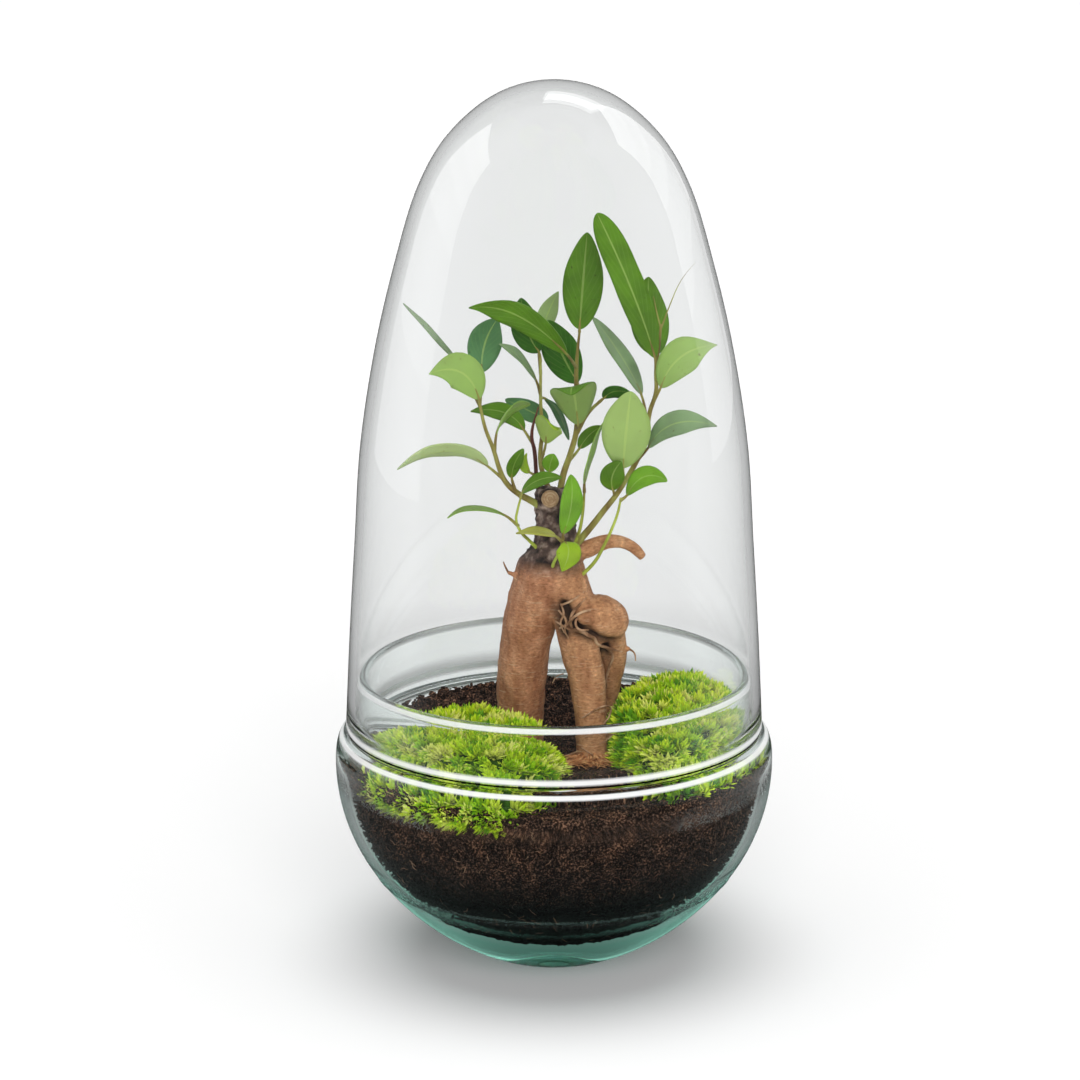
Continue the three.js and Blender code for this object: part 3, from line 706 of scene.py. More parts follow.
FIBRE_BROWNS = [(0.4, (0.03, 0.012, 0.008)), (0.52, (0.12, 0.05, 0.028)), (0.66, (0.34, 0.2, 0.12))]
fibre_finish = stained_finish("fibre", 0.8, 0.3, 60, FIBRE_BROWNS)
fibre_places = []
while len(fibre_places) < FIBRES:
    length = draw.uniform(1.8, 5)
    angle = draw.uniform(0, 2 * math.pi)
    if len(fibre_places) % 2:
        spread = draw.uniform(0, 58)
        x, y = spread * math.cos(angle), spread * math.sin(angle)
        spot = Vector((x, y, soil_height(x, y) - 0.9))
        lay = Matrix.Rotation(draw.uniform(0, 6.3), 4, "Z") @ Matrix.Rotation(draw.gauss(0, 0.25), 4, "Y")
    else:
        height = draw.uniform(18, 72)
        spread = room_radius(height, 1.3)
        out = Vector((math.cos(angle), math.sin(angle), -0.7 if height < 40 else 0)).normalized()
        spot = Vector((spread * math.cos(angle), spread * math.sin(angle), height))
        lay = out.to_track_quat("Z", "Y").to_matrix().to_4x4() @ Matrix.Rotation(draw.uniform(0, 6.3), 4, "Z")
    ends = [spot + lay.to_3x3() @ Vector((s * length, 0, 0)) for s in (-0.5, 0.5)]
    if all(math.hypot(p.x, p.y) < room_radius(p.z, 0.8) for p in ends):
        fibre_places.append(Matrix.Translation(spot * MM) @ lay @ Matrix.Scale(length * MM, 4))
fibre_models = [fibre_model(seed) for seed in (1, 2, 3)]
fibre_picks = [draw.randrange(3) for _ in fibre_places]
fibres = scatter_copies("soil_fibres", fibre_models, fibre_picks, fibre_places, fibre_finish)
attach(fibres, "root")

# Trunk: two swollen roots that grew together into a body, with a knob, a rough dark neck, a sawn stub,
# a thin back root and a side root. The limbs are tapered tubes, melted into one skin and then roughened.
LEFT_LEG = [
    (-12, 9, 62, 6.6), (-11.5, 8, 80, 7.6), (-11, 6, 95, 8.2), (-9.5, 4, 109, 8.3), (-7.3, 1.5, 120, 9.1),
    (-4, -0.6, 129, 10.2), (-1.6, -1.8, 135, 11), (-0.1, -2, 139.5, 9.4), (0.7, -1.7, 143.5, 7.7),
    (0.4, -0.8, 151, 6.4), (-1.1, 0.3, 159, 5), (-1.2, 0.6, 163.5, 4.6),
]
RIGHT_LEG = [
    (2.5, -2.5, 137, 7.4), (4.6, -4, 129, 7.8), (8, -6, 118, 7.4), (9.2, -8, 109, 6.5), (10.9, -10, 102, 6.1),
    (11.7, -12, 94, 5.5), (12.3, -14, 85, 4.8), (12.2, -15, 76, 4.7), (12, -15, 64, 4),
]
BACK_LEG = [
    (18, -3, 115, 5.8), (20, -1, 105, 4.1), (19.4, 1, 97, 3.2), (18.8, 3.5, 89, 2.4), (18.2, 5.5, 78, 1.6),
    (18, 6, 66, 1.1),
]
SIDE_ROOT = [
    (6, 0, 141, 3), (10.5, 0, 142.5, 2.7), (15.5, 0, 144.5, 2.4), (20.5, 0, 145.3, 2), (24.7, -0.5, 144.5, 1.8),
    (27.7, -1, 142.5, 1.5), (29.7, -1, 140, 1.1),
]
STUB = [(-1.2, -0.5, 158.5, 4.6), (-1.3, -6, 161.3, 3.8)]
KNOB_NECK = [(2, -3, 128, 7.6), (9, -5.5, 122.5, 7), (13.5, -6, 120, 7)]
LUMPS = [
    ((14.6, -6, 119.6), (10, 7.8, 8.4)), ((9.9, -12.4, 122.3), (3.4, 3, 2.9)),
    ((-9.6, -2.5, 134), (3.6, 3.6, 3)),
]
TWIGLETS = [[(-9, -3, 132.5, 0.8), (-15.5, -4.5, 136, 0.5)], [(20, -2, 108, 0.8), (25.5, -4, 109, 0.5)]]
CREVICE = [
    (3.4, -11.5, 126.5), (5, -13, 122.5), (7, -14, 119.4), (10.4, -14.6, 117.4), (14.7, -14.4, 115),
    (17.5, -13.2, 113.4), (21, -10, 112),
]
GROOVES = (
    (CREVICE, 1.6, 3.2),
    ([(2, -9, 125), (3.2, -10, 121), (3.6, -11, 117.5)], 1.9, 1.6),
    ([(17, -8, 112), (17, -8, 104), (16.4, -8.5, 98), (16, -9, 90), (16, -10, 80)], 1.7, 1.6),
)
REMESH_LOSS = 0.3
FOOT_CENTRE = (12.2, -15)
FOOT_ROOTS = 6
FOOT_ROOT_REACH = 8


def tapered_tubes(name, paths, fineness=3, smoothness=5, grow=0):
    """Round tubes through points of (x, y, z, radius) in mm, closed at their ends, as one mesh."""
    data = bpy.data.curves.new(name, "CURVE")
    data.dimensions = "3D"
    data.bevel_depth = MM
    data.bevel_resolution = fineness
    data.resolution_u = smoothness
    data.use_fill_caps = True
    for points in paths:
        spline = data.splines.new("BEZIER")
        spline.bezier_points.add(len(points) - 1)
        for knot, (x, y, z, radius) in zip(spline.bezier_points, points):
            knot.co = (x * MM, y * MM, z * MM)
            knot.radius = radius + grow
            knot.handle_left_type = "AUTO"
            knot.handle_right_type = "AUTO"
    tube = bpy.data.objects.new(name, data)
    bpy.context.collection.objects.link(tube)
    select_only(tube)
    bpy.ops.object.convert(target="MESH")
    return bpy.context.object


def join_pieces(name, pieces):
    bpy.ops.object.select_all(action="DESELECT")
    for piece in pieces:
        piece.select_set(True)
    bpy.context.view_layer.objects.active = pieces[0]
    bpy.ops.object.join()
    joined = bpy.context.object
    joined.name = name
    joined.data.name = name
    return joined


def foot_root(i):
    angle = 2 * math.pi * i / FOOT_ROOTS + 0.4
    reach = FOOT_ROOT_REACH * (1 + 0.25 * math.sin(4 * i))
    x, y = FOOT_CENTRE
    steps = ((2.5, 79, 1.6), (0.7 * reach, 76, 1.1), (reach, 71, 0.7))
    return [(x + r * math.cos(angle), y + r * math.sin(angle), z, radius) for r, z, radius in steps]


def carve(piece, path, width, depth):
    """Presses a rounded groove into a piece along a path, all in mm."""
    points = np.array([v.co for v in piece.data.vertices]) / MM
    normals = np.array([v.normal for v in piece.data.vertices])
    nearest = np.full(len(points), np.inf)
    for a, b in zip(np.array(path), np.array(path[1:])):
        along = np.clip(((points - a) @ (b - a)) / ((b - a) @ (b - a)), 0, 1)
        nearest = np.minimum(nearest, np.linalg.norm(points - (a + along[:, None] * (b - a)), axis=1))
    push = depth * np.exp(-((nearest / width) ** 2))
    points -= normals * push[:, None]
    piece.data.vertices.foreach_set("co", (points * MM).ravel())
    return np.exp(-((nearest / (1.35 * width)) ** 2))


limbs = [LEFT_LEG, RIGHT_LEG, BACK_LEG, SIDE_ROOT, STUB, KNOB_NECK, *TWIGLETS]
limbs += [foot_root(i) for i in range(FOOT_ROOTS)]
trunk_parts = [tapered_tubes("limbs", limbs, 6, 8, REMESH_LOSS)]
for centre, radii in LUMPS:
    bpy.ops.mesh.primitive_uv_sphere_add(segments=32, ring_count=20, location=Vector(centre) * MM)
    lump = bpy.context.object
    lump.scale = (Vector(radii) + Vector((1, 1, 1)) * REMESH_LOSS) * MM
    bpy.ops.object.transform_apply(location=True, rotation=True, scale=True)
    trunk_parts.append(lump)
trunk = join_pieces("trunk_skin", trunk_parts)
melt = trunk.modifiers.new("melt", "REMESH")
melt.mode = "VOXEL"
melt.voxel_size = 0.5 * MM
ease = trunk.modifiers.new("ease", "SMOOTH")
ease.factor = 0.6
ease.iterations = 5
apply_all(trunk)
shadow = np.maximum.reduce([carve(trunk, path, width, depth) for path, width, depth in GROOVES])
shadow_paint = trunk.data.color_attributes.new("shadow", "FLOAT_COLOR", "POINT")
shadow_paint.data.foreach_set("color", np.repeat(np.minimum(1.3 * shadow, 0.94), 4))

NECK_FROM_Z = 136
rough_neck = trunk.vertex_groups.new(name="rough_neck")
for vertex in trunk.data.vertices:
    height = vertex.co.z / MM
    inner = math.hypot(vertex.co.x / MM, vertex.co.y / MM) < 9
    weight = min(max((height - NECK_FROM_Z) / 5, 0), 1) if inner else 0.1
    rough_neck.add([vertex.index], max(weight, 0.1), "REPLACE")
roughen(trunk, 6, 0.9, 0.5)
roughen(trunk, 2, 2.2, 0.5, "rough_neck")
bpy.ops.object.shade_smooth()


def bark_finish():
    finish = new_finish("bark", 0.68, 0.3)
    reds = [(0.3, (0.29, 0.115, 0.055)), (0.5, (0.43, 0.195, 0.1)), (0.72, (0.56, 0.29, 0.16))]
    golds = [(0.3, (0.3, 0.13, 0.06)), (0.5, (0.43, 0.21, 0.1)), (0.72, (0.56, 0.3, 0.15))]
    red, gold = stain(finish, 260, reds, (1, 1, 0.4)), stain(finish, 280, golds, (1, 1, 0.45))
    body = blend_colours(finish, along_axis(finish, "X", -2, 6), red, gold)
    dashes = stain(finish, 300, [(0.61, (0, 0, 0)), (0.69, (0.6, 0.6, 0.6))], (0.5, 0.5, 6), 2)
    dashed = blend_colours(finish, dashes, body, (0.58, 0.38, 0.23))
    dots = [(0.34, (0.72, 0.66, 0.64)), (0.48, (1, 1, 1)), (0.56, (1, 1, 1)), (0.68, (1.35, 1.3, 1.25))]
    specks = stain(finish, 1500, dots, (0.55, 0.55, 1), 3)
    marked = blend_colours(finish, 1.0, dashed, specks, "MULTIPLY")
    greys = [(0.35, (0.02, 0.014, 0.013)), (0.52, (0.1, 0.062, 0.05)), (0.7, (0.36, 0.27, 0.22))]
    neck = stain(finish, 330, greys)
    near_stem = blend_colours(finish, along_axis(finish, "X", 10, 7), (0, 0, 0), (1, 1, 1))
    neck_share = along_axis(finish, "Z", NECK_FROM_Z - 1, NECK_FROM_Z + 5)
    rough = blend_colours(finish, blend_colours(finish, neck_share, (0, 0, 0), near_stem), marked, neck)
    coloured = blend_colours(finish, read_paint(finish, "shadow"), rough, (0.012, 0.008, 0.007))
    set_colour(finish, coloured)
    add_bump(finish, coloured, 0.6, 0.45)
    return finish


bark = bark_finish()
trunk.data.materials.append(bark)
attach(trunk, "root")
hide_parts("trunk")

# Sawn face: the pale end grain where the main stem was cut, a little hollow, with rings round its heart.
FACE_CENTRE = Vector((-1.3, -6.2, 161.45))
FACE_OUT = Vector((-0.015, -0.89, 0.456)).normalized()
FACE_RADIUS = 2.9
GRAIN_RING = 0.9
bpy.ops.mesh.primitive_circle_add(vertices=48, radius=FACE_RADIUS * MM, fill_type="NGON")
sawn_face = bpy.context.object
sawn_face.name = "sawn_face"
bpy.ops.object.mode_set(mode="EDIT")
bpy.ops.mesh.select_all(action="SELECT")
bpy.ops.mesh.extrude_region_move(TRANSFORM_OT_translate={"value": (0, 0, 1.6 * MM)})
for thickness, depth in ((0.35, 0.15), (0.5, -0.25), (0.8, -0.1), (0.8, 0)):
    bpy.ops.mesh.inset(thickness=thickness * MM, depth=depth * MM)
bpy.ops.mesh.select_all(action="SELECT")
bpy.ops.mesh.normals_make_consistent(inside=False)
bpy.ops.object.mode_set(mode="OBJECT")
face_turn = FACE_OUT.to_track_quat("Z", "Y").to_matrix().to_4x4()
sawn_face.data.transform(Matrix.Translation((FACE_CENTRE - FACE_OUT * 0.9) * MM) @ face_turn)
bpy.ops.object.shade_smooth_by_angle(angle=math.radians(40))
end_grain = new_finish("end_grain", 0.75, 0.25)
grain_place = add_node(end_grain, "TexCoord").outputs["Object"]
from_heart = add_node(end_grain, "VectorMath", {0: grain_place, 1: FACE_CENTRE * MM}, operation="DISTANCE")
ring_count = calculate(end_grain, "MULTIPLY", from_heart.outputs["Value"], 1 / (GRAIN_RING * MM))
grain_stain = stain(end_grain, 500, [(0.35, (0.26, 0.15, 0.08)), (0.6, (0.5, 0.36, 0.22))])
ringed = blend_colours(end_grain, calculate(end_grain, "FRACT", ring_count), grain_stain, (0.3, 0.18, 0.095))
set_colour(end_grain, ringed)
add_bump(end_grain, ringed, 0.5, 0.3)
sawn_face.data.materials.append(end_grain)
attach(sawn_face, "root")

# Air roots: thin pale roots that run over the knob, out of the crevice and round the right leg,
# and a tuft of orange-brown feeding roots where that leg goes into the soil.
AIR_ROOTS = [
    [(10.6, -9.9, 128.6, 0.35), (8, -12.3, 126.2, 0.5), (6, -13.2, 123.7, 0.55), (5.5, -13.4, 121, 0.5),
     (6, -13.2, 119, 0.4)],
    [(12.1, -13, 125, 0.3), (9.6, -15.2, 125.2, 0.45), (6.9, -14.6, 123.4, 0.5), (4.7, -12.9, 120.5, 0.45),
     (1.9, -10.3, 118.1, 0.3)],
    [(5.2, -12.6, 118.2, 0.6), (9, -13.8, 118.1, 0.75), (11.6, -13.6, 116.4, 0.7), (13.3, -13, 115.3, 0.6),
     (14.4, -11.5, 113, 0.5), (17.3, -8.8, 111, 0.55), (20, -7.2, 109.7, 0.45), (22.8, -5.2, 108.4, 0.3)],
    [(17.3, -8.2, 110.9, 0.4), (19.6, -7, 107.9, 0.45), (18.6, -4.6, 102.8, 0.5), (17.6, -3.6, 98.3, 0.4),
     (17.6, -2.4, 94.6, 0.3)],
    [(2.4, -11.7, 126.5, 0.35), (6, -12.4, 128.3, 0.4), (10, -9.6, 130.7, 0.3)],
    [(7, -13.6, 89.2, 0.25), (9, -17.2, 88.9, 0.32), (12.1, -18.8, 91.2, 0.34), (16.2, -17, 92.8, 0.34),
     (18.9, -13.6, 91.3, 0.32), (18.8, -12.6, 89, 0.3), (16.8, -16, 86.8, 0.3), (14.6, -18.4, 85.6, 0.25)],
    [(1.9, -11.4, 77.3, 0.3), (4.8, -14, 79.4, 0.5), (8, -16.6, 81.9, 0.45)],
    [(9, -18.6, 84, 0.3), (13, -20.6, 80.6, 0.35), (18, -22.4, 77.5, 0.3), (21.5, -24, 76, 0.2)],
    [(9.3, -12.6, 121.8, 0.3), (7.2, -15.8, 122.2, 0.4), (8, -16.2, 119.6, 0.4), (11.4, -15.6, 119, 0.3)],
    [(1.5, -11, 124.5, 0.3), (4, -13, 121.5, 0.4), (3.6, -13.2, 118, 0.3), (5, -12.6, 115, 0.2)],
    [(0.5, -10.2, 120.5, 0.25), (3, -12.6, 119.5, 0.35), (6.5, -14.2, 117.8, 0.3)],
    [(2.2, -11.6, 127, 0.3), (3.2, -12.8, 124, 0.35), (2.2, -12.2, 120.5, 0.3), (3.4, -12.2, 117, 0.2)],
    [(-15.3, -4.4, 135.8, 0.35), (-16.4, -4.8, 138.2, 0.3), (-16.9, -5, 139.6, 0.2)],
    [(25.3, -4, 109, 0.4), (27, -4.4, 107.6, 0.3), (27.4, -4.6, 105, 0.2)],
    [(3.3, -7.6, 101.5, 0.15), (1, -7.8, 100.6, 0.2), (-0.6, -8, 98.2, 0.1)],
]
FEEDING_ROOTS = 150
AIR_ROOT_BROWNS = [(0.35, (0.2, 0.1, 0.05)), (0.5, (0.36, 0.2, 0.11)), (0.66, (0.55, 0.36, 0.22))]
FEEDING_BROWNS = [(0.35, (0.2, 0.08, 0.03)), (0.5, (0.48, 0.2, 0.08)), (0.66, (0.72, 0.4, 0.18))]
air_roots = tapered_tubes("air_roots", AIR_ROOTS, 2, 6)
air_roots.data.materials.append(stained_finish("air_root", 0.7, 0.3, 260, AIR_ROOT_BROWNS, detail=3))
draw = random.Random(31)
strands = []
for _ in range(FEEDING_ROOTS):
    angle = draw.gauss(-1.5, 0.95)
    reach = draw.uniform(5, 15)
    lean = draw.gauss(0, 0.45)
    x, y = FOOT_CENTRE[0] + 3.4 * math.cos(angle), FOOT_CENTRE[1] + 3.4 * math.sin(angle)
    z = draw.uniform(77, 82)
    middle = (x + 0.45 * reach * math.cos(angle), y + 0.5 * reach * math.sin(angle), draw.uniform(76.8, 79.8))
    far = (x + reach * math.cos(angle + lean), y + reach * math.sin(angle + lean))
    end = (*far, soil_height(*far) - draw.uniform(-0.9, 0.9))
    thin = draw.uniform(0.18, 0.36)
    strands.append([(x, y, z, thin), (*middle, thin), (*end, 0.6 * thin)])
feeding_roots = tapered_tubes("feeding_roots", strands, 1, 5)
feeding_roots.data.materials.append(stained_finish("feeding_root", 0.7, 0.3, 320, FEEDING_BROWNS))
for roots in (air_roots, feeding_roots):
    bpy.context.view_layer.objects.active = roots
    bpy.ops.object.shade_smooth()
    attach(roots, "root")

# Moss cushions: live tufts of yellow-green to deep green shoots on a dark mound, laid on the soil at both
# sides of the trunk and pressed against the glass. Every shoot is a small star of pointed keeled leaves.
MOUND = [
    (0, 0), (0.94, 0), (0.99, 0.25), (1, 0.5), (0.96, 0.7), (0.88, 0.83), (0.76, 0.92), (0.6, 0.97), (0.42, 1),
    (0.22, 1.01), (0, 1),
]
CUSHIONS = {
    "moss_left": {"centre": (-28.5, -32), "radii": (33, 39), "bottom": 62, "top": 90, "tufts": 1050},
    "moss_right": {"centre": (43, -10), "radii": (25, 47), "bottom": 70, "top": 93, "tufts": 1050},
}
TUFT_DEPTH = 2.2
MOUND_CLEARANCE = 2.6
TUFT_SIZE = (5.4, 8)
MOSS_LEAF_LENGTH = 0.52
MOSS_LEAF_HALF_WIDTH = 0.12
MOSS_LEAF_KEEL = 0.045
LIMITS = [room_radius(z / 2, 0.45) for z in range(0, 230)]
LEAF_RINGS = ((5, 1.15, 1.0), (5, 0.75, 1.0), (3, 0.35, 0.9))


def keep_off_glass(point, clearance=0):
    limit = (LIMITS[min(max(int(2 * point.z / MM), 0), len(LIMITS) - 1)] - clearance) * MM
    spread = math.hypot(point.x, point.y)
    if spread > limit:
        point.x *= limit / spread
        point.y *= limit / spread
    return point


def tuft_model(seed):
    """One moss shoot: pointed keeled leaves in three rings, each ring a little higher, about one unit across.
    """
    draws = random.Random(seed)
    builder = bmesh.new()
    for ring, (count, lean, length) in enumerate(LEAF_RINGS):
        for i in range(count):
            angle = 2 * math.pi * (i + 0.35 * ring) / count + draws.uniform(-0.25, 0.25)
            tilt = lean + draws.uniform(-0.15, 0.15)
            long = MOSS_LEAF_LENGTH * length * draws.uniform(0.8, 1.15)
            out = Vector((math.cos(angle) * math.sin(tilt), math.sin(angle) * math.sin(tilt), math.cos(tilt)))
            side = Vector((-math.sin(angle), math.cos(angle), 0)) * MOSS_LEAF_HALF_WIDTH
            up = side.cross(out).normalized() * MOSS_LEAF_KEEL
            root = Vector((0, 0, 0.06 * ring))
            middle = root + out * long * 0.36 + up
            corners = [builder.verts.new(p) for p in (root, middle - side, middle + side, root + out * long)]
            for face in ((0, 1, 3), (0, 3, 2), (1, 2, 3), (0, 2, 1)):
                builder.faces.new([corners[c] for c in face])
    return built_mesh(builder, "tuft_model")


moss_leaf = new_finish("moss_leaf", 0.5, 0.4)
set_colour(moss_leaf, read_paint(moss_leaf, "tint"))
UNDER_GREENS = [(0.35, (0.012, 0.03, 0.003)), (0.6, (0.035, 0.09, 0.008))]
moss_under = stained_finish("moss_under", 0.9, 0.1, 300, UNDER_GREENS)
# Painted shade: each moss leaf darkens from its tip colour to a near-black green at its root, deep inside the
# tuft.
MOSS_SHADED_ROOT = np.array((0.01, 0.05, 0.001))
MOSS_TIPS = [
    np.array(c) for c in ((0.14, 0.4, 0.008), (0.46, 0.76, 0.012), (0.82, 0.98, 0.03), (0.98, 0.98, 0.25))
]
tufts_of_moss = [tuft_model(seed) for seed in (11, 12, 13, 14)]
tuft_out_of_shade = np.array([[min(v.co.length / 0.45, 1) ** 1.3 for v in model.vertices] for model in tufts_of_moss])


def moss_cushion(name, centre, radii, bottom, top, tufts, seed):
    mound = spin_outline(name + "_mound", [(p[0], p[1] * 1000) for p in MOUND], 72)
    for vertex in mound.data.vertices:
        x, y, z = vertex.co.x * 1000, vertex.co.y * 1000, vertex.co.z
        place = Vector((x * (radii[0] - TUFT_DEPTH), y * (radii[1] - TUFT_DEPTH), 0))
        swell = noise.noise(Vector((place.x, place.y, 40 * z)) / 8) * 2.4
        height = bottom + z * (top - TUFT_DEPTH - bottom) + (swell if z > 0.3 else 0)
        vertex.co = Vector((place.x + centre[0], place.y + centre[1], height)) * MM
        keep_off_glass(vertex.co, MOUND_CLEARANCE)
    finer = mound.modifiers.new("finer", "SUBSURF")
    finer.levels = 1
    finer.render_levels = 1
    apply_all(mound)
    mound.data.materials.append(moss_under)
    draws = random.Random(seed)
    faces = [f for f in mound.data.polygons if f.normal.z > -0.3 and f.center.z > (bottom + 1) * MM]
    chosen = draws.choices(faces, weights=[f.area for f in faces], k=tufts)
    places = []
    tips = []
    for face in chosen:
        corners = [mound.data.vertices[v].co for v in face.vertices]
        shares = [draws.random() for _ in corners]
        spot = sum((c * s for c, s in zip(corners, shares)), Vector()) / sum(shares)
        lean = (face.normal + Vector((draws.gauss(0, 0.35), draws.gauss(0, 0.35), 0.35))).normalized()
        size = draws.uniform(*TUFT_SIZE) * MM
        stand = lean.to_track_quat("Z", "Y").to_matrix().to_4x4()
        turn = Matrix.Rotation(draws.uniform(0, 6.3), 4, "Z")
        rise = Matrix.Diagonal((1, 1, draws.uniform(0.9, 1.25), 1))
        foot = Matrix.Translation(spot + lean * draws.uniform(-0.5, 0.5) * MM)
        places.append(foot @ stand @ turn @ Matrix.Scale(size, 4) @ rise)
        patch = 0.55 + 0.6 * noise.noise(spot / MM / 10) + 0.3 * draws.gauss(0, 1)
        share = min(max(patch, 0), 0.999) * (len(MOSS_TIPS) - 1)
        step = int(share)
        tips.append(MOSS_TIPS[step] + (MOSS_TIPS[step + 1] - MOSS_TIPS[step]) * (share - step))
    picks = [draws.randrange(len(tufts_of_moss)) for _ in places]
    shoots = scatter_copies(name + "_tufts", tufts_of_moss, picks, places, moss_leaf)
    for vertex in shoots.data.vertices:
        keep_off_glass(vertex.co)
    shade = tuft_out_of_shade[picks][:, :, None] * (np.array(tips)[:, None, :] - MOSS_SHADED_ROOT) + MOSS_SHADED_ROOT
    rgba = np.concatenate([shade, np.ones((*shade.shape[:2], 1))], axis=2)
    tint = shoots.data.color_attributes.new("tint", "FLOAT_COLOR", "POINT")
    tint.data.foreach_set("color", rgba.ravel())
    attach(mound, "root")
    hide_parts(name)
    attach(shoots, "root")


for seed, (name, cushion) in enumerate(CUSHIONS.items()):
    moss_cushion(name, seed=seed + 20, **cushion)

# Leaves and twigs: waxy oval leaves with a pale rib on thin green-brown twigs. Each leaf is a small sheet
# bent along its rib, thickened, and set on its stalk; every shoot is one piece with its own leaves.
LEAF_THICKNESS = 0.36
ROWS = 22
COLUMNS = 8
BLADE_FULLNESS = 0.55
LEAF_RIPPLE = 0.06
TWIG_LOSS = -0.1
# Leaf tints. Mist and silver are partly the leaves' own grey-green and partly painted sheen: the whitish gleam
# these leaves show is painted into their colour.
TINTS = {
    "fresh": (0.15, 0.33, 0.02),
    "leaf": (0.085, 0.195, 0.01),
    "deep": (0.035, 0.125, 0.01),
    "blue": (0.075, 0.18, 0.07),
    "pale": (0.22, 0.36, 0.07),
    "lime": (0.3, 0.46, 0.02),
    "yellow": (0.42, 0.42, 0.08),
    "mist_sheen": (0.18, 0.275, 0.13),
    "silver_sheen": (0.42, 0.5, 0.26),
}


def leaf_finish(name, underside):
    finish = new_finish(name, 0.55 if underside else 0.38, 0.25 if underside else 0.35)
    glow = {"Subsurface Weight": 0.15, "Subsurface Radius": (0.3, 0.6, 0.1), "Subsurface Scale": 0.002}
    set_inputs(finish, "Principled BSDF", glow)
    place = add_node(finish, "UVMap").outputs[0]
    axes = add_node(finish, "SeparateXYZ", {0: place}).outputs

    def work(operation, first, second=0):
        return calculate(finish, operation, first, second)

    off_rib = work("ABSOLUTE", work("SUBTRACT", axes["X"], 0.5))
    rib = work("LESS_THAN", off_rib, 0.028)
    along = work("SUBTRACT", work("MULTIPLY", axes["Y"], 11), work("MULTIPLY", off_rib, 7))
    wave = work("ABSOLUTE", work("SUBTRACT", work("FRACT", along), 0.5))
    veins = work("MULTIPLY", work("LESS_THAN", wave, 0.05), 0.22 if underside else 0.14)
    cloudy = stain(finish, 130, [(0.3, (0.78, 0.78, 0.78)), (0.7, (1.15, 1.15, 1.15))])
    body = blend_colours(finish, 1.0, read_paint(finish, "tint"), cloudy, "MULTIPLY")
    if underside:
        body = blend_colours(finish, 0.55, body, (0.36, 0.46, 0.17))
    veined = blend_colours(finish, veins, body, (0.3, 0.44, 0.13))
    rib_share = work("MULTIPLY", rib, 0.6 if underside else 0.4)
    ribbed = blend_colours(finish, rib_share, veined, (0.38, 0.5, 0.14))
    specks = stain(finish, 900, [(0.7, (1, 1, 1)), (0.76, (0.5, 0.33, 0.2))], detail=2)
    set_colour(finish, blend_colours(finish, 1.0, ribbed, specks, "MULTIPLY"))
    add_bump(finish, work("ADD", rib, veins), 0.35, 0.25)
    return finish


def twig_finish(name, dark, middle, light):
    finish = new_finish(name, 0.6, 0.35)
    skin = stain(finish, 240, [(0.35, dark), (0.5, middle), (0.66, light)], (1, 1, 0.25))
    set_colour(finish, skin)
    add_bump(finish, skin, 0.4, 0.2)
    return finish


leaf_upper = leaf_finish("leaf_upper", False)
leaf_under = leaf_finish("leaf_under", True)
green_twig = twig_finish("green_twig", (0.16, 0.1, 0.03), (0.26, 0.22, 0.055), (0.34, 0.36, 0.09))
young_twig = twig_finish("young_twig", (0.2, 0.18, 0.03), (0.33, 0.38, 0.05), (0.45, 0.55, 0.09))
red_twig = twig_finish("red_twig", (0.05, 0.014, 0.012), (0.1, 0.028, 0.02), (0.17, 0.06, 0.035))
VIEWER = Vector((0, -1, 0))


def leaf_blade(base, bend, tip, width, roll, fold, tint, point):
    """A blade from base to tip in mm, bent towards a point. Roll 0 shows its upper face to the viewer."""
    base, bend, tip = Vector(base), Vector(bend), Vector(tip)
    along = (tip - base).normalized()
    across = along.cross(VIEWER).normalized()
    across.rotate(Matrix.Rotation(math.radians(roll), 3, along))
    bpy.ops.mesh.primitive_grid_add(x_subdivisions=COLUMNS, y_subdivisions=ROWS, size=2)
    blade = bpy.context.object
    for vertex in blade.data.vertices:
        edge = vertex.co.x
        t = (1 - math.cos(math.pi * min(max((vertex.co.y + 1) / 2, 0), 1))) / 2
        centre = base * (1 - t) ** 2 + bend * 2 * t * (1 - t) + tip * t**2
        tangent = ((bend - base) * (1 - t) + (tip - bend) * t).normalized()
        side = (across - tangent * across.dot(tangent)).normalized()
        face = side.cross(tangent)
        narrow = 1 - point * max(0, (t - 0.6) / 0.4) ** 1.5
        half = max(0.22, width / 2 * narrow * math.sin(math.pi * t) ** BLADE_FULLNESS)
        lift = fold * half * (math.sqrt(edge * edge + 0.02) - 0.14) - 0.05 * half * edge * edge
        ripple = LEAF_RIPPLE * half * math.sin(9 * t + 3 * edge + width) * edge * edge
        vertex.co = (centre + side * edge * half + face * (lift + ripple)) * MM
    colours = blade.data.color_attributes.new("tint", "FLOAT_COLOR", "POINT")
    colours.data.foreach_set("color", [*TINTS[tint], 1] * len(blade.data.vertices))
    for finish in (leaf_upper, leaf_under, green_twig):
        blade.data.materials.append(finish)
    thick = blade.modifiers.new("thick", "SOLIDIFY")
    thick.thickness = LEAF_THICKNESS * MM
    thick.offset = 0
    thick.material_offset = 1
    apply_all(blade)
    bpy.ops.object.shade_smooth()
    return blade


def point_at_height(stem, z):
    """The point of a twig at a height, in mm."""
    for low, high in zip(stem, stem[1:]):
        if low[2] <= z <= high[2]:
            share = (z - low[2]) / (high[2] - low[2])
            return [a + (b - a) * share for a, b in zip(low, high)]
    return stem[-1] if z > stem[-1][2] else stem[0]


def leaf(off, base, bend, tip, width, roll, fold, tint="leaf", stem=0, point=0.2):
    """A leaf that leaves its twig at a height. All lengths are in mm and the roll is in degrees."""
    return {
        "off": off, "base": base, "bend": bend, "tip": tip, "width": width, "roll": roll, "fold": fold,
        "tint": tint, "stem": stem, "point": point,
    }


def as_twig(tube, skin):
    for finish in (leaf_upper, leaf_under, skin):
        tube.data.materials.append(finish)
    for face in tube.data.polygons:
        face.material_index = 2
    return tube


